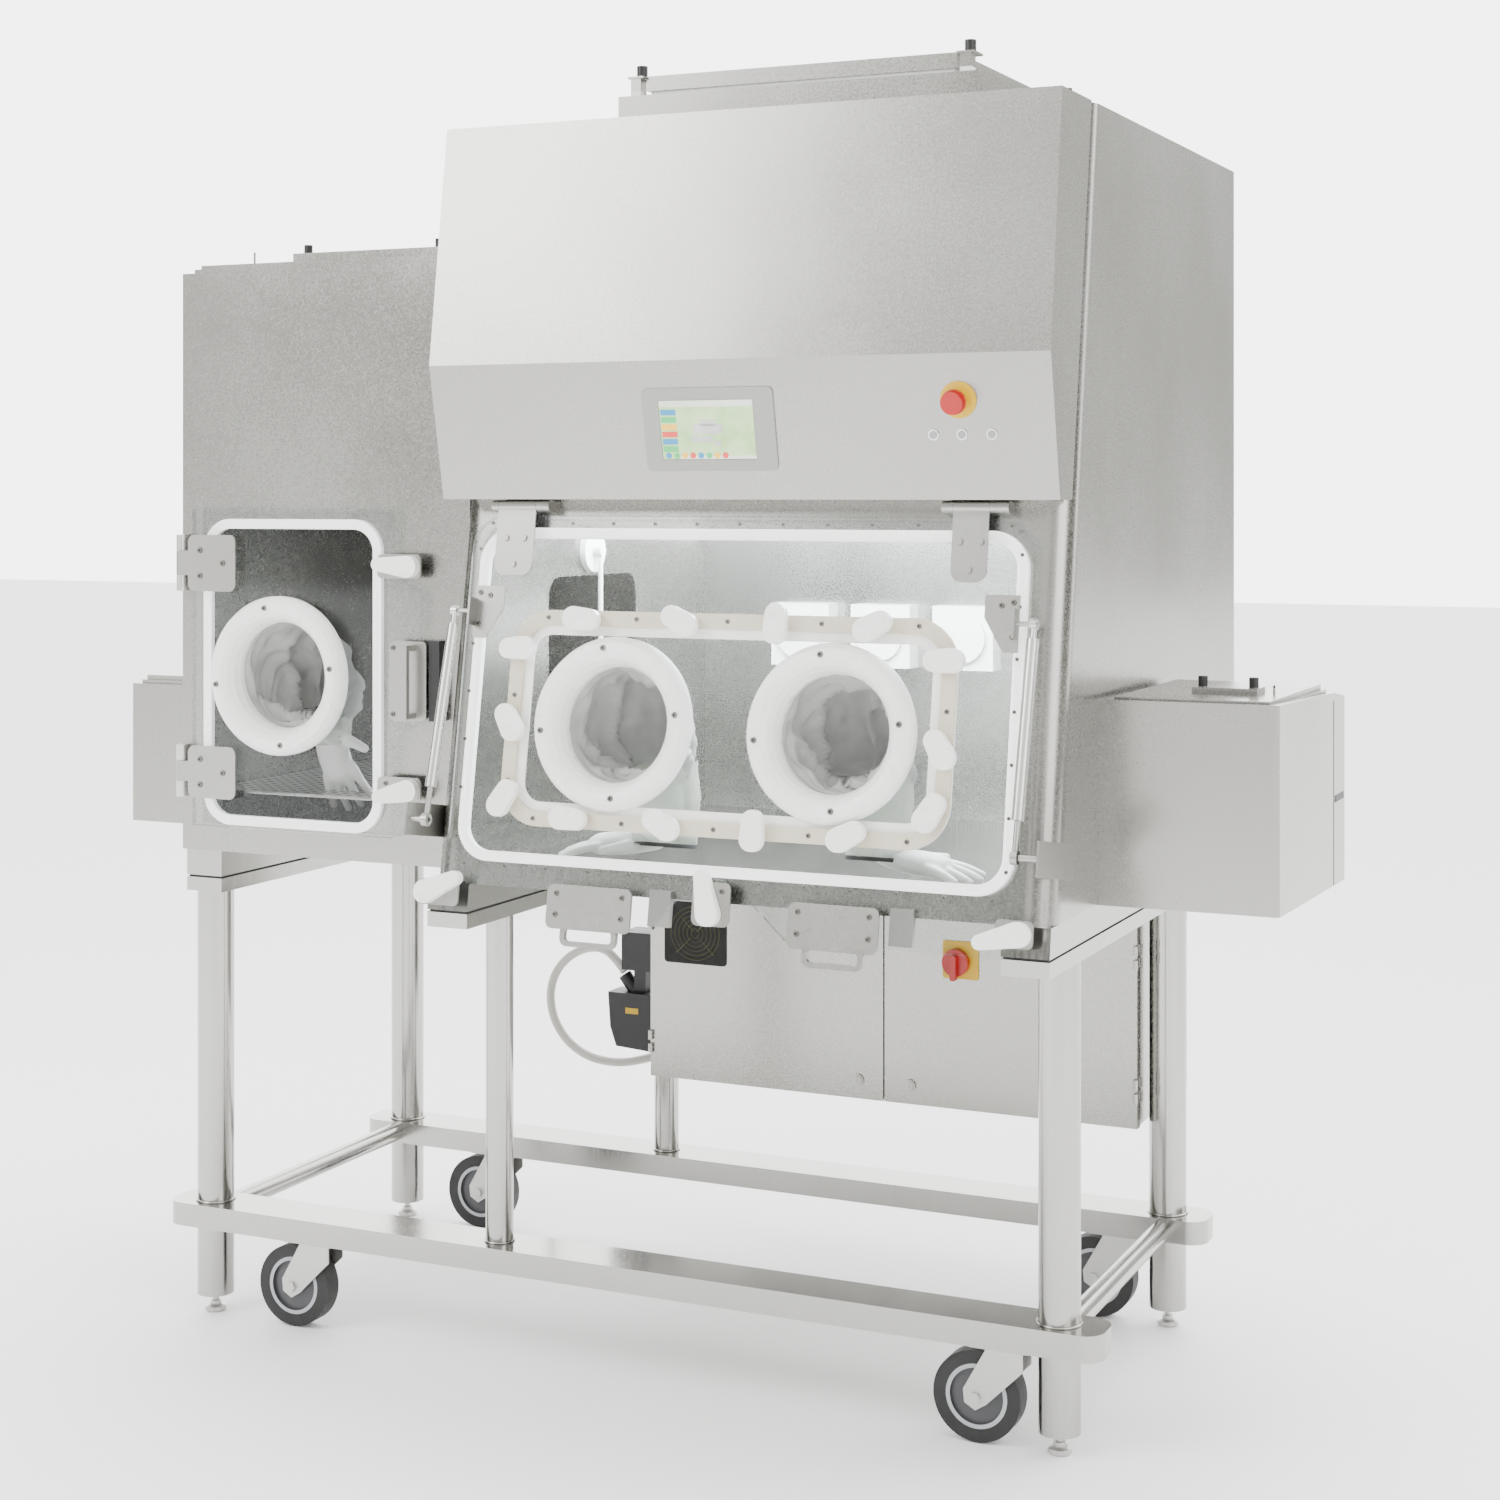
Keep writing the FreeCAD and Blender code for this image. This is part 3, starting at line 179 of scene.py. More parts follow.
def steel_surf(sh, tone=0.6, rough=0.34, stretch=(1, 1, 1), spread=0.07, wave=0.0):
    grain = sh.noise(260.0, 2.0, stretch)
    cloud = sh.noise(2.4, 3.0)
    mixed = sh.math("ADD", sh.math("MULTIPLY", grain, 0.5), sh.math("MULTIPLY", cloud, 0.5))
    height = sh.math("ADD", sh.math("MULTIPLY", grain, 0.004), sh.math("MULTIPLY", sh.noise(1.9, 1.0), wave))
    a = (tone - spread, tone - spread - 0.006, tone - spread - 0.03)
    b = (tone + spread, tone + spread - 0.004, tone + spread - 0.022)
    return sh.surf(sh.tint(mixed, a, b), sh.ramp(mixed, rough - 0.07, rough + 0.09), 1.0, height, 0.9)


def plastic_surf(sh, color, rough=0.4, spread=0.06, scale=60.0):
    grain = sh.noise(scale, 4.0)
    a = tuple(max(0.0, c * (1 - spread)) for c in color)
    b = tuple(min(1.0, c * (1 + spread)) for c in color)
    return sh.surf(sh.tint(grain, a, b), sh.ramp(grain, rough - 0.05, rough + 0.07), 0.0, grain, 0.08)


def clear_surf(sh, color=(0.975, 0.985, 0.985)):
    grain = sh.noise(3.0, 2.0)
    tr = sh.t.nodes.new("ShaderNodeBsdfTransparent")
    sh.t.links.new(sh.tint(grain, tuple(c - 0.015 for c in color), color), tr.inputs[0])
    gl = sh.node("ShaderNodeBsdfGlossy", Roughness=0.04)
    sh.t.links.new(sh.tint(grain, (0.8, 0.82, 0.82), (0.9, 0.92, 0.92)), gl.inputs[0])
    fr = sh.node("ShaderNodeFresnel", IOR=1.42)
    return sh.mix(sh.math("MULTIPLY", fr.outputs[0], 0.6), tr.outputs[0], gl.outputs[0])


def glowing_seal_surf(sh):
    """Milky gasket with a painted glow: its emission stands in for the chamber's light carried through it."""
    col = sh.tint(sh.noise(60.0, 4.0), (0.9, 0.9, 0.88), (0.96, 0.96, 0.95))
    return sh.surf(col, 0.4, 0.0, Emission_Color=col, Emission_Strength=0.9)


def steel(name, **k):
    sh = Shader(name)
    return sh.done(steel_surf(sh, **k))


def plastic(name, color, **k):
    sh = Shader(name)
    return sh.done(plastic_surf(sh, color, **k))


def knobbed(name, above, white_band=None):
    """Steel whose thumb screws, higher than a level in mm, are black."""
    sh = Shader(name)
    z = sh.along(Vector((0, 0, 0)), Vector((0, 0, 1)))
    base = steel_surf(sh, tone=SHELL_TONE, rough=0.25, wave=9.0)
    if white_band:
        base = sh.mix(sh.within(z, white_band[0] / 1000, white_band[1] / 1000), base, plastic_surf(sh, WHITE))
    top = sh.math("GREATER_THAN", z, above / 1000)
    return sh.done(sh.mix(top, base, plastic_surf(sh, (0.012, 0.012, 0.012), spread=0.3)))


WHITE = (0.9, 0.9, 0.88)
YELLOW = (0.62, 0.38, 0.0)
SHELL_TONE = 0.36
shell = steel("shell", tone=SHELL_TONE, rough=0.25, wave=9.0)
tube = steel("tube", tone=0.4, rough=0.17, stretch=(1, 1, 0.06))
liner = steel("liner", tone=0.6, rough=0.26, wave=10.0)
fitting = steel("fitting", tone=0.4, rough=0.34)
screw_steel = steel("screw steel", tone=0.2, rough=0.35)
zinc = steel("zinc", tone=0.55, rough=0.42)
strut_steel = steel("strut tube", tone=0.6, rough=0.3)
white = plastic("white", WHITE, rough=0.3)
black = plastic("black", (0.012, 0.012, 0.013), rough=0.45, spread=0.3)
grey = plastic("grey", (0.3, 0.3, 0.31), rough=0.45)
rubber = plastic("rubber", (0.02, 0.02, 0.02), rough=0.65, spread=0.3)
red = plastic("red", (0.4, 0.004, 0.004), rough=0.3)
yellow = plastic("yellow", YELLOW, rough=0.4)
cable_mat = plastic("cable sheath", (0.55, 0.53, 0.49), rough=0.5, scale=300.0)

# the seal bands of both doors carry a painted glow
sh = Shader("door")
is_seal = sh.math("LESS_THAN", sh.along(front(0, 0, 0), OUT), 0.0119)
door_mat = sh.done(sh.mix(is_seal, clear_surf(sh), glowing_seal_surf(sh)))
sh = Shader("pass door")
is_seal = sh.math("LESS_THAN", sh.along(passf(0, 0, 0), Vector((0, -1, 0))), 0.0099)
pdoor_mat = sh.done(sh.mix(is_seal, clear_surf(sh), glowing_seal_surf(sh)))
sh = Shader("clear sheet")
clear = sh.done(clear_surf(sh))
sh = Shader("clamp ring")
is_top = sh.math("GREATER_THAN", sh.along(front(0, 0, 0), OUT), 0.0284)
ring_mat = sh.done(sh.mix(is_top, plastic_surf(sh, WHITE), plastic_surf(sh, (0.62, 0.57, 0.45), rough=0.5)))
sh = Shader("hood fittings")
is_lamp = sh.math("LESS_THAN", sh.along(hood(0, 0, 0), HOOD_UP), 0.125)
hoodfit_mat = sh.done(sh.mix(is_lamp, plastic_surf(sh, YELLOW), steel_surf(sh, tone=0.7, rough=0.25)))
sh = Shader("cabinet door")
gx = sh.within(sh.along(plain(0, 0, 0), Vector((1, 0, 0))), -0.1795, -0.0405)
gz = sh.within(sh.along(plain(0, 0, 0), Vector((0, 0, 1))), 0.6105, 0.7355)
gy = sh.math("LESS_THAN", sh.along(plain(0, 262, 0), Vector((0, 1, 0))), -0.0002)
ix = sh.within(sh.along(plain(0, 0, 0), Vector((1, 0, 0))), 0.4165, 0.4895)
grille = sh.math("MULTIPLY", sh.math("MULTIPLY", gx, gz), gy)
plate = sh.math("MULTIPLY", ix, gy)
cdoor_surf = sh.mix(grille, steel_surf(sh, tone=SHELL_TONE, rough=0.26, wave=9.0),
                    plastic_surf(sh, (0.004, 0.004, 0.003), rough=0.7))
cdoor_mat = sh.done(sh.mix(plate, cdoor_surf, plastic_surf(sh, YELLOW)))
sh = Shader("pass pins")
bx = sh.math("GREATER_THAN", sh.along(plain(0, 0, 0), Vector((1, 0, 0))), -0.4)
pin_mat = sh.done(sh.mix(bx, steel_surf(sh, tone=0.66, rough=0.28), plastic_surf(sh, (0.012, 0.012, 0.012))))


def wheel_material(name, ax, az):
    sh = Shader(name)
    dx = sh.along(plain(ax, 0, az), Vector((1, 0, 0)))
    dz = sh.along(plain(ax, 0, az), Vector((0, 0, 1)))
    r = sh.math("SQRT", sh.math("ADD", sh.math("MULTIPLY", dx, dx), sh.math("MULTIPLY", dz, dz)))
    # dark hub inside 46.2 mm, grey band out to 53 mm, tyre beyond
    inner = sh.mix(sh.math("LESS_THAN", r, 0.0462), plastic_surf(sh, (0.36, 0.37, 0.39)),
                   plastic_surf(sh, (0.06, 0.06, 0.065)))
    tyre = plastic_surf(sh, (0.013, 0.013, 0.013), rough=0.6)
    return sh.done(sh.mix(sh.math("LESS_THAN", r, 0.053), tyre, inner))


def dress(name, mat):
    for slot in nodes[name].material_slots:
        slot.material = mat


LOOK = {"brushed_frame": tube, "satin_shell": shell, "mirror_liner": liner, "black_rubber": rubber,
        "black_tyre": rubber, "black_plastic": black, "screen_plastic": grey, "yellow_plastic": hoodfit_mat,
        "red_plastic": red, "white_plastic": white, "beige_plastic": ring_mat, "grey_cable": cable_mat,
        "sleeve_fabric": white, "clear_sheet": clear, "polished_fittings": fitting, "strut_metal": strut_steel,
        "zinc_fork": zinc}
for part in frame["record"]["subparts"]:
    dress(part["node"], LOOK[part["material_slot"]])
dress("door_main", door_mat)
dress("door_pass", pdoor_mat)
dress("cabinet_door_left", cdoor_mat)
dress("cabinet_door_right", cdoor_mat)
dress("pass_hinge_pins", pin_mat)
dress("filter_housing", knobbed("filter steel", 2311.2, (2275.4, 2283.8)))
dress("pass_shell", knobbed("pass steel", 2010.2))
dress("side_box_right", knobbed("right box steel", 1231.3))
dress("side_box_left", knobbed("left box steel", 1200.2))
CASTORS = (("front_left", -600, -336), ("front_right", 745, -336),
           ("rear_left", -600, 336), ("rear_right", 745, 336))
for tag, x, y in CASTORS:
    dress("caster_wheel_" + tag, wheel_material("wheel " + tag, x - 45, 76.5))


# ------------------------------------------------------------------ helpers
def link(name, mesh, body, mat, bevel=0.0, smooth=False):
    o = bpy.data.objects.new(name.replace(" ", "_"), mesh)
    bpy.context.scene.collection.objects.link(o)
    mesh.materials.append(mat)
    if smooth:
        for p in mesh.polygons:
            p.use_smooth = True
    if bevel:
        b = o.modifiers.new("bevel", "BEVEL")
        b.width, b.segments, b.limit_method = bevel, 3, "ANGLE"
    if body:
        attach(o, body)
    return o


def basis(to):
    """Matrix from a frame function: its three axes as columns and origin."""
    o = to(0, 0, 0)
    cols = [(to(*v) - o) * 1000 for v in ((1, 0, 0), (0, 1, 0), (0, 0, 1))]
    m = Matrix((cols[0], cols[1], cols[2])).transposed().to_4x4()
    return Matrix.Translation(o) @ m @ Matrix.Scale(0.001, 4)


class Group:
    """Several small solids gathered in one mesh; positions in mm in one frame."""

    def __init__(self, to):
        self.bm, self.to = bmesh.new(), basis(to)

    def cyl(self, p, axis, r, length, seg=20, r2=None):
        rot = Vector((0, 0, 1)).rotation_difference(Vector(axis)).to_matrix().to_4x4()
        m = Matrix.Translation(Vector(p)) @ rot @ Matrix.Translation((0, 0, length / 2))
        bmesh.ops.create_cone(self.bm, cap_ends=True, segments=seg, radius1=r,
                              radius2=r if r2 is None else r2, depth=length, matrix=m)

    def box(self, lo, hi):
        c = [(a + b) / 2 for a, b in zip(lo, hi)]
        d = [abs(b - a) for a, b in zip(lo, hi)]
        m = Matrix.Translation(c) @ Matrix.Diagonal((*d, 1))
        bmesh.ops.create_cube(self.bm, size=1, matrix=m)

    def ring(self, p, r0, r1, n, tube_seg=10, seg=72):
        """A torus about the frame's third axis."""
        rm, rt = (r0 + r1) / 2, (r1 - r0) / 2
        rows = []
        for i in range(seg):
            a = 2 * math.pi * i / seg
            rows.append([self.bm.verts.new((p[0] + (rm + rt * math.cos(t)) * math.cos(a),
                                            p[1] + (rm + rt * math.cos(t)) * math.sin(a),
                                            n + rt * math.sin(t)))
                         for t in (2 * math.pi * k / tube_seg for k in range(tube_seg))])
        for i in range(seg):
            for k in range(tube_seg):
                a, b = rows[i], rows[(i + 1) % seg]
                self.bm.faces.new((a[k], b[k], b[(k + 1) % tube_seg], a[(k + 1) % tube_seg]))

    def done(self, name, body, slot, mat, bevel=0.0, smooth=False):
        self.bm.transform(self.to)
        bmesh.ops.recalc_face_normals(self.bm, faces=self.bm.faces)
        mesh = bpy.data.meshes.new(name)
        self.bm.to_mesh(mesh)
        self.bm.free()
        return link(name, mesh, body, mat, bevel, smooth)


PIPS = []


def screw(g, x, y, n, r=5.0, tall=2.4):
    """A round head; its socket is drawn later by sockets() as a black disc of painted shade."""
    g.cyl((x, y, n), (0, 0, 1), r, tall, 16, r * 0.86)
    PIPS.append((x, y, n + tall - 0.1, r * 0.42))


def sockets(to, name, body):
    # each socket is a thin black disc: painted shade standing in for the dark recess in the head
    g = Group(to)
    for x, y, n, r in PIPS:
        g.cyl((x, y, n), (0, 0, 1), r, 0.4, 8)
    PIPS.clear()
    g.done(name, body, "polished_fittings", black)


# -------------------------------------------------------------- power cable
CABLE = [(-348, 412, 550), (-370, 413, 577), (-405, 415, 597), (-450, 416, 590), (-492, 415, 565),
         (-521, 414, 525), (-529, 413, 478), (-517, 413, 430), (-488, 415, 390), (-445, 420, 362),
         (-398, 428, 352), (-358, 440, 352), (-323, 453, 360), (-303, 460, 366), (-289.8, 462.6, 368.6)]
curve = bpy.data.curves.new("power cable", "CURVE")
curve.dimensions = "3D"
spline = curve.splines.new("NURBS")
spline.points.add(len(CABLE) - 1)
for p, c in zip(spline.points, CABLE):
    p.co = (*plain(*c), 1)
spline.order_u = 3
spline.use_endpoint_u = True
spline.resolution_u = 12
curve.bevel_depth = 0.009
curve.bevel_resolution = 6
curve.materials.append(cable_mat)
cable = bpy.data.objects.new("flex", curve)
bpy.context.scene.collection.objects.link(cable)
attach(cable, "isolator")
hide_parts("power_cable")

# ------------------------------------------------------------------- screws
PANEL_X, PANEL_S, PANEL_HW, PANEL_HH = 302, 339, 395, 172  # the glove panel's middle and half sizes (mm)
PORTS_X, PORTS_S = (103, 501), 333
PORT_SCREWS_R = 127
g = Group(front)
per = []
for i in range(9):
    x = PANEL_X + (-1 + 2 * i / 8) * (PANEL_HW - 55)
    per += [(x, PANEL_S + PANEL_HH), (x, PANEL_S - PANEL_HH)]
for i in range(4):
    s = PANEL_S + (-1 + 2 * i / 3) * (PANEL_HH - 62)
    per += [(PANEL_X + PANEL_HW, s), (PANEL_X - PANEL_HW, s)]
for x, s in per:
    screw(g, x, s, 34.1, 4.2)
for px in PORTS_X:
    for k in range(4):
        a = math.radians(8 + 90 * k)
        screw(g, px + PORT_SCREWS_R * math.cos(a), PORTS_S + PORT_SCREWS_R * math.sin(a), 59.6, 5.5)
g.done("ring screws", "glove_insert", "polished_fittings", screw_steel)
sockets(front, "ring sockets", "glove_insert")

g = Group(front)
for i in range(13):
    x = -170 + 956 * i / 12
    screw(g, x, 676, 24, 3.4)
    screw(g, x, 84, 24, 3.4)
for i in range(7):
    s = 130 + 500 * i / 6
    screw(g, -190, s, 24, 3.4)
    screw(g, 806, s, 24, 3.4)
for cx, side in ((-221, 1), (837, -1)):
    for dx, ds in ((40, 35), (40, -20), (60, 30)):
        screw(g, cx + side * dx, 518 + ds, 28, 5)
for cx in (78.5, 521.5):
    for dx in (-62, 62):
        for s in (10, 45):
            screw(g, cx + dx, s, 29, 5)
for x, s in ((-205, 31), (-222, 31), (806, 36), (818, 36), (286, 68), (322, 68)):
    screw(g, x, s, 28, 4.5)
g.done("door screws", "main_door", "polished_fittings", screw_steel)
sockets(front, "door sockets", "main_door")

g = Group(passf)
for z in (1371 + 53, 982 + 49):
    for x, dz in ((-826, 24), (-826, -24), (-774, 0)):
        screw(g, x, z + dz, 26, 6)
for z in (1423, 1020):
    screw(g, -414, z + 10, 26, 4.5)
    screw(g, -400, z - 10, 26, 4.5)
for x, z in ((-398, 1156), (-398, 1276)):
    screw(g, x, z, 26, 5)
for k in range(4):
    a = math.radians(8 + 90 * k)
    screw(g, -640 + PORT_SCREWS_R * math.cos(a), 1218 + PORT_SCREWS_R * math.sin(a), 57.4, 5.5)
g.done("pass screws", "pass_door", "polished_fittings", screw_steel)
sockets(passf, "pass sockets", "pass_door")

# ---------------------------------------------------------------- hood panel
def lit(name, a, b, glow=0.5):
    sh = Shader(name)
    col = sh.tint(sh.noise(30.0, 2.0), a, b)
    return sh.done(sh.surf(col, 0.15, 0.0, Emission_Color=col, Emission_Strength=glow))


g = Group(hood)
g.box((189, 69.5, 1.9), (361, 168.5, 2.5))
g.done("display", "isolator", "screen_plastic", lit("display", (0.22, 0.45, 0.12), (0.62, 0.78, 0.45)))
g = Group(hood)
g.box((189, 158, 2.5), (361, 168.5, 2.8))
g.box((222, 69.5, 2.5), (361, 75, 2.8))
g.done("display bars", "isolator", "screen_plastic",
       lit("display bars", (0.55, 0.6, 0.5), (0.75, 0.8, 0.7)))
g = Group(hood)
for dx, ds, w, t in ((250, 112, 52, 17), (262, 125, 30, 10), (244, 98, 40, 10), (286, 92, 12, 8)):
    g.box((dx, ds, 2.5), (dx + w, ds + t, 3.0))
g.done("display drawing", "isolator", "screen_plastic",
       lit("display drawing", (0.3, 0.33, 0.3), (0.6, 0.62, 0.6)))
KEYS = (("blue", (0.02, 0.2, 0.42)), ("green", (0.05, 0.4, 0.12)), ("amber", (0.75, 0.42, 0.03)),
        ("red", (0.6, 0.05, 0.04)))
for k, (tag, col) in enumerate(KEYS):
    g = Group(hood)
    for i in range(6):
        if (i * 3 + 1) % 4 == k:
            g.box((191, 82 + i * 12.4, 2.5), (219, 91.5 + i * 12.4, 3.0))
    for i in range(8):
        if i % 4 == k:
            g.cyl((200 + i * 15, 75.5, 2.5), (0, 0, 1), 5.2, 0.7, 20)
    g.done("keys " + tag, "isolator", "screen_plastic", lit("keys " + tag, col, tuple(c * 1.25 for c in col)))
sh = Shader("bezel")
bezel = sh.done(plastic_surf(sh, (0.3, 0.3, 0.29), rough=0.35))
dress("hmi_panel", bezel)
g = Group(hood)
for x in (673, 721, 771):
    g.cyl((x, 106, 2), (0, 0, 1), 6.5, 1.2, 24)
g.done("lamp lenses", "isolator", "screen_plastic", grey)

# -------------------------------------------------------------- fan grille
g = Group(cab)
for i in range(6):
    g.ring((-110, 673), 8 + i * 9, 9.6 + i * 9, 2.0, 6, 56)
for k in range(4):
    a = math.radians(45 + 90 * k)
    g.cyl((-110 + 5 * math.cos(a), 673 + 5 * math.sin(a), 2.0), (math.cos(a), math.sin(a), 0), 1.0, 54, 8)
g.done("grille rings", "cabinet_left", "black_plastic",
       plastic("grille wire", (0.07, 0.07, 0.03), rough=0.6, spread=0.3), smooth=True)

# ------------------------------------------------------- pass chamber shelf
# the holes are not cut: each is a black dot, painted shade standing in for the dark space seen through it
sh = Shader("punched shelf")
HOLES_PER_METRE = 42.0
px, py = (sh.math("SUBTRACT", sh.math("FRACT", sh.math("MULTIPLY", sh.along(plain(0, 0, 0), Vector(axis)),
                                                       HOLES_PER_METRE)), 0.5)
          for axis in ((1, 0, 0), (0, 1, 0)))
rr = sh.math("SQRT", sh.math("ADD", sh.math("MULTIPLY", px, px), sh.math("MULTIPLY", py, py)))
shelf_shaded_holes = sh.done(sh.mix(sh.math("LESS_THAN", rr, 0.26), steel_surf(sh, tone=0.55, rough=0.3),
                         plastic_surf(sh, (0.01, 0.01, 0.01))))
g = Group(plain)
g.box((-874, -315, 988.2), (-262, 315, 989.4))
g.done("punched tray", "isolator", "mirror_liner", shelf_shaded_holes)

# -------------------------------------------------------- label and side seams
g = Group(plain)
g.box((-330, 379.4, 470), (-300, 380.2, 482))
g.done("cable label", "isolator", "yellow_plastic", yellow)
g = Group(plain)
g.box((1173, 188, 866), (1173.6, 190, 1190))
g.box((1173, 200, 1010), (1173.8, 275, 1022))
g.done("box seam", "isolator", "black_plastic", black)

# --------------------------------------------------- tube collars and welds
g = Group(plain)
for x in (-836, 836):
    for y in (-336, 336):
        for z in (168, 211):
            g.ring((x, y), 33.6, 37.6, z + (1.6 if z > 200 else -1.6), 8, 64)
for y in (-336, 336):
    g.ring((-212, y), 24.2, 28.0, 212.6, 8, 48)
g.done("weld rings", "isolator", "brushed_frame", tube, smooth=True)


# ------------------------------------------------------- sleeves and gloves
sh = Shader("sleeve cloth")
w1 = sh.noise(34.0, 5.0)
w2 = sh.noise(900.0, 2.0)
cloth = sh.done(sh.surf(sh.tint(w1, (0.34, 0.34, 0.335), (0.5, 0.5, 0.49)), sh.ramp(w1, 0.42, 0.62), 0.0,
                        sh.math("ADD", w1, sh.math("MULTIPLY", w2, 0.1)), 0.5))
sh = Shader("cuff film")
w1 = sh.noise(40.0, 4.0)
tr = sh.t.nodes.new("ShaderNodeBsdfTransparent")
cuff_mat = sh.done(sh.mix(0.62, tr.outputs[0], sh.surf(sh.tint(w1, (0.55, 0.6, 0.52), (0.75, 0.78, 0.7)),
                                                       sh.ramp(w1, 0.25, 0.45), 0.0, w1, 0.4)))
glove_mat = plastic("glove", (0.78, 0.78, 0.75), rough=0.5, spread=0.05, scale=140.0)


def tube_along(name, to, path, radii, body, mat, wrinkle, seed, seg=72, per=9):
    """A soft tube through points in one frame; radii in mm, wrinkled in proportion to the distance along."""
    pts = [Vector(p) for p in path]
    rows = []
    total = (len(pts) - 1) * per
    for i in range(total + 1):
        k = min(i // per, len(pts) - 2)
        f = i / per - k
        a, b = pts[k], pts[k + 1]
        prev, nxt = pts[max(k - 1, 0)], pts[min(k + 2, len(pts) - 1)]
        f2, f3 = f * f, f * f * f
        c = (a * (2 * f3 - 3 * f2 + 1) + b * (3 * f2 - 2 * f3) + (b - prev) * 0.5 * (f3 - 2 * f2 + f) +
             (nxt - a) * 0.5 * (f3 - f2))
        r = radii[k] * (1 - f) + radii[k + 1] * f
        rows.append((c, r, i / total))
    bm = bmesh.new()
    rings = []
    side = Vector((1, 0, 0))
    for i, (c, r, t) in enumerate(rows):
        c1 = rows[min(i + 1, total)][0]
        c0 = rows[max(i - 1, 0)][0]
        d = (c1 - c0).normalized()
        u = (side - d * side.dot(d)).normalized()
        v = d.cross(u)
        grow = min(1.0, t * 5)
        ring = []
        for k in range(seg):
            ang = 2 * math.pi * k / seg
            p = c + (u * math.cos(ang) + v * math.sin(ang)) * r
            q1 = noise.noise(p * 0.017 + Vector((seed, 0, 0)))
            q2 = noise.noise(Vector((ang * 1.2, t * 16, seed)) * 1.3)
            q3 = noise.noise(p * 0.05 + Vector((0, seed, 0)))
            q4 = abs(math.sin(2.5 * ang + seed + 5.0 * t + 1.6 * q1)) ** 0.55
            # soft swells, sharper creases, and pleats that deepen away from the port
            fold = 1 + wrinkle * grow * (0.1 * q1 + 0.2 * q2 * abs(q2) + 0.03 * abs(q3)
                                         + 0.6 * t * (q4 - 0.9) - 0.03)
            p = c + (u * math.cos(ang) + v * math.sin(ang)) * r * fold
            ring.append(bm.verts.new(p))
        rings.append(ring)
    for a, b in zip(rings, rings[1:]):
        for k in range(seg):
            bm.faces.new((a[k], a[(k + 1) % seg], b[(k + 1) % seg], b[k]))
    bm.transform(basis(to))
    mesh = bpy.data.meshes.new(name)
    bm.to_mesh(mesh)
    bm.free()
    o = link(name, mesh, body, mat, smooth=True)
    return o


def glove(name, to, wrist, aim, palm_up, body, seed):
    """A limp five-finger glove from rounded pieces merged into one skin."""
    aim, palm_up = Vector(aim).normalized(), Vector(palm_up)
    across = aim.cross(palm_up).normalized()
    lift = across.cross(aim).normalized()
    bm = bmesh.new()
    rnd = random.Random(seed)

    def ball(p, r, flat=0.72):
        turn = Matrix((across, aim, lift)).transposed().to_4x4()
        m = Matrix.Translation(p) @ turn @ Matrix.Diagonal((1, 1, flat, 1))
        bmesh.ops.create_icosphere(bm, subdivisions=3, radius=r, matrix=m)

    w = Vector(wrist)
    for t in range(12):
        ball(w + aim * (t * 8), 25 + 9 * math.sin(t / 11 * 2.2), 0.6)
    for off, length, splay in ((-30, 64, -0.22), (-11, 74, -0.06), (9, 72, 0.08), (28, 58, 0.24)):
        p = w + aim * 92 + across * off
        d = (aim + across * splay).normalized()
        bend = 0.0
        for t in range(11):
            ball(p, 10.5 - t * 0.28, 0.85)
            bend += 0.025 + 0.02 * rnd.random()
            p = p + (d * math.cos(bend) - lift * math.sin(bend)) * (length / 10)
    p = w + aim * 34 - across * 30
    d = (aim * 0.7 - across * 0.75).normalized()
    for t in range(9):
        ball(p, 12.5 - t * 0.4, 0.85)
        p = p + d * 6.5
    bm.transform(basis(to))
    mesh = bpy.data.meshes.new(name)
    bm.to_mesh(mesh)
    bm.free()
    o = link(name, mesh, body, glove_mat, smooth=True)
    rm = o.modifiers.new("merge", "REMESH")
    rm.mode, rm.voxel_size, rm.use_smooth_shade = "VOXEL", 0.0032, True
    sm = o.modifiers.new("soft", "SMOOTH")
    sm.iterations, sm.factor = 6, 0.5
    bpy.context.view_layer.objects.active = o
    o.select_set(True)
    for mod in ("merge", "soft"):
        bpy.ops.object.modifier_apply(modifier=mod)
    o.select_set(False)
    for p in o.data.polygons:
        p.use_smooth = True
    return o


soft = []
for k, px in enumerate(PORTS_X):
    turn = 1 if k else -1
    path = [(px, 333, 8), (px, 333, -20), (px + 4, 325, -62), (px + 10, 296, -98), (px + 16, 250, -122)]
    soft.append(tube_along("sleeve %d" % k, front, path, (97, 97, 93, 82, 70), None, cloth, 1.0, 3.1 + k * 7))
    path = [(px + 14, 272, -114), (px + 22, 216, -128), (px + 26, 172, -134), (px + 28, 138, -136)]
    soft.append(tube_along("cuff %d" % k, front, path, (72, 66, 58, 54), None, cuff_mat, 0.45, 9.7 + k * 5))
    path = [(px + 28, 141, -136), (px + 28, 138, -136), (px + 28, 134, -136)]
    soft.append(tube_along("cuff ring %d" % k, front, path, (55, 56, 55), None, rubber, 0.0, 1.0, per=3))
    soft.append(glove("glove %d" % k, front, (px + 28 + 20 * turn, 142, -132), (turn, -0.1, 0.15),
                      (0, 1, 0.2), None, 11 + k))
for piece in soft:
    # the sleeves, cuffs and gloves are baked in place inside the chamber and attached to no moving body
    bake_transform(piece)
path = [(-640, 1218, 8), (-640, 1218, -24), (-638, 1206, -70), (-640, 1176, -108), (-648, 1130, -128)]
soft_p = [tube_along("pass sleeve", passf, path, (97, 97, 90, 74, 60), "pass_door", cloth, 1.0, 1.3)]
path = [(-648, 1136, -126), (-650, 1106, -128), (-652, 1084, -130)]
soft_p.append(tube_along("pass cuff", passf, path, (54, 50, 48), "pass_door", cuff_mat, 0.4, 5.5))
soft_p.append(glove("pass glove", passf, (-650, 1112, -126), (0.35, -0.9, 0.0), (0, 0.1, 1), "pass_door", 17))
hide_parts("sleeves_main")
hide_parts("sleeve_pass")

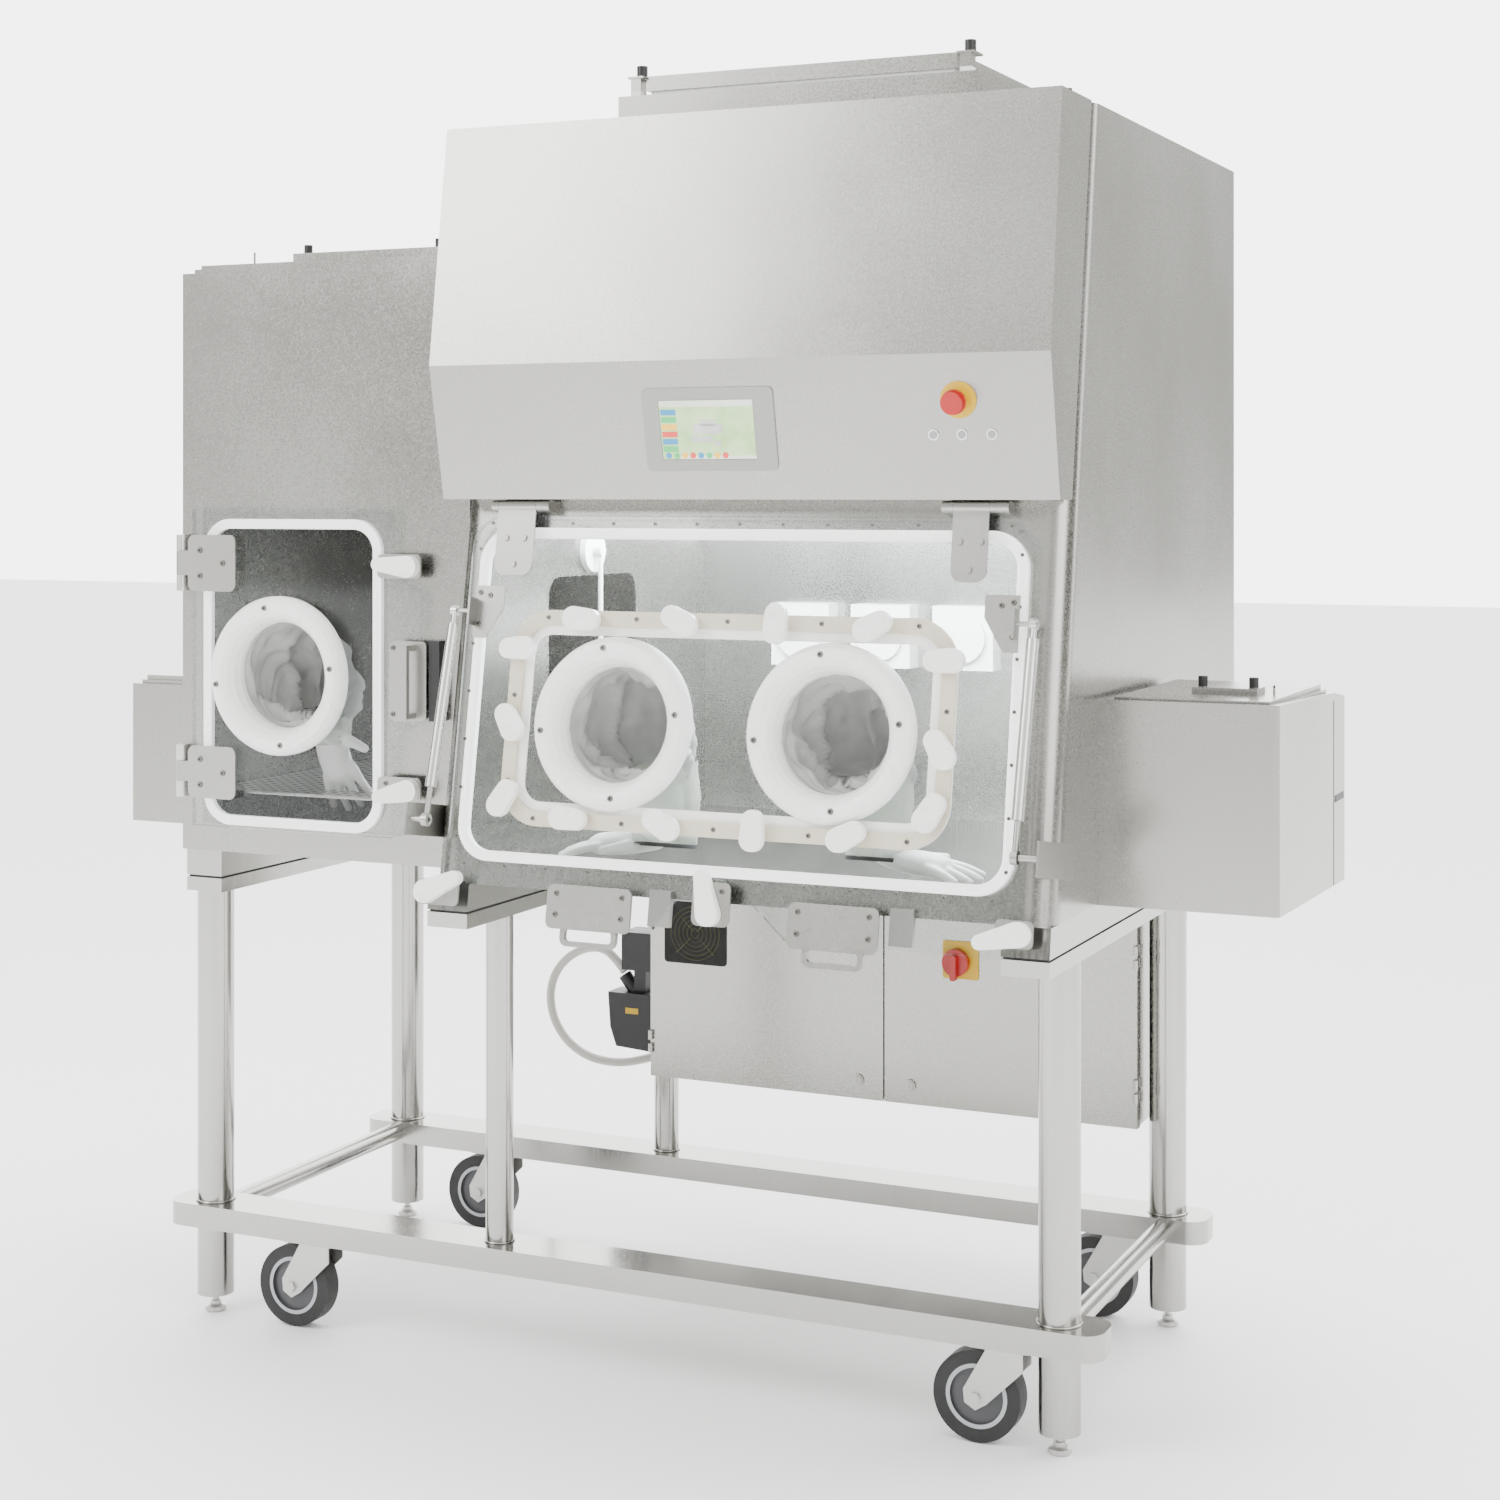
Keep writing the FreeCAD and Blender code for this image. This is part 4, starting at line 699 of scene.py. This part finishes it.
# --------------------------------------------------------------------- stage
floor_bm = bmesh.new()
bmesh.ops.create_grid(floor_bm, x_segments=1, y_segments=1, size=30)
floor_mesh = bpy.data.meshes.new("floor")
floor_bm.to_mesh(floor_mesh)
floor_bm.free()
floor = bpy.data.objects.new("floor", floor_mesh)
floor.location = (0, 0, -0.0005)
sh = Shader("floor")
fl = sh.noise(0.6, 2.0)
floor_color = sh.tint(fl, (0.93, 0.93, 0.93), (0.95, 0.95, 0.95))
floor_mesh.materials.append(sh.done(sh.surf(floor_color, sh.ramp(fl, 0.6, 0.7))))
bpy.context.scene.collection.objects.link(floor)

world = bpy.data.worlds.new("world")
bpy.context.scene.world = world
world.use_nodes = True
wt = world.node_tree
bg = wt.nodes["Background"]
bg.inputs[1].default_value = 1.0
way = wt.nodes.new("ShaderNodeTexCoord").outputs["Generated"]
SKY = (1.7, 1.7, 1.68, 1)
color = None
# a bright backdrop behind the object, and softer and darker walls beside and in front of it
for direction, wide, narrow, shade in (((0.0, 1.0, 0.0), -0.15, 0.35, (5.5, 5.5, 5.5)),
                                       ((0.4, 0.917, 0.0), 0.9, 0.97, (1.0, 1.0, 0.95)),
                                       ((0.97, 0.24, 0.0), 0.88, 0.96, (0.12, 0.12, 0.08)),
                                       ((0.80, -0.60, 0.0), 0.93, 0.99, (0.35, 0.33, 0.27)),
                                       ((-0.97, -0.25, 0.0), 0.84, 0.97, (0.15, 0.15, 0.12)),
                                       ((-0.35, -0.94, 0.0), 0.95, 0.99, (0.5, 0.49, 0.45)),
                                       ((0.35, -0.94, 0.0), 0.95, 0.99, (0.3, 0.29, 0.25))):
    dot = wt.nodes.new("ShaderNodeVectorMath")
    dot.operation = "DOT_PRODUCT"
    wt.links.new(way, dot.inputs[0])
    dot.inputs[1].default_value = direction
    step = wt.nodes.new("ShaderNodeMapRange")
    step.interpolation_type = "SMOOTHSTEP"
    wt.links.new(dot.outputs["Value"], step.inputs["Value"])
    step.inputs["From Min"].default_value, step.inputs["From Max"].default_value = wide, narrow
    mix = wt.nodes.new("ShaderNodeMix")
    mix.data_type = "RGBA"
    wt.links.new(step.outputs[0], mix.inputs[0])
    if color is None:
        mix.inputs[6].default_value = SKY
    else:
        wt.links.new(color, mix.inputs[6])
    mix.inputs[7].default_value = (*shade, 1)
    color = mix.outputs[2]
wt.links.new(color, bg.inputs[0])


def area(name, loc, target, size, power, depth=None, color=(1, 1, 1)):
    d = bpy.data.lights.new(name, "AREA")
    d.energy, d.size, d.color = power, size, color
    if depth:
        d.shape, d.size_y = "RECTANGLE", depth
    o = bpy.data.objects.new(name, d)
    o.location = Vector(loc) - MID / 1000
    o.rotation_euler = (Vector(target) - Vector(loc)).to_track_quat("-Z", "Y").to_euler()
    bpy.context.scene.collection.objects.link(o)


area("key", (-3.2, -4.2, 4.4), (0, 0, 1.1), 3.0, 260)
area("fill", (4.6, -2.5, 2.6), (0.3, 0, 1.2), 2.6, 90)
area("top", (0.3, 0.5, 5.0), (0.3, 0.2, 1.0), 3.5, 160)
area("chamber lamp", (0.31, 0.1, 1.6), (0.31, 0.1, 0.9), 1.0, 70, 0.5, (0.9, 0.96, 1.0))
area("pass lamp", (-0.57, -0.05, 1.9), (-0.57, -0.05, 0.9), 0.4, 2.5, 0.4)
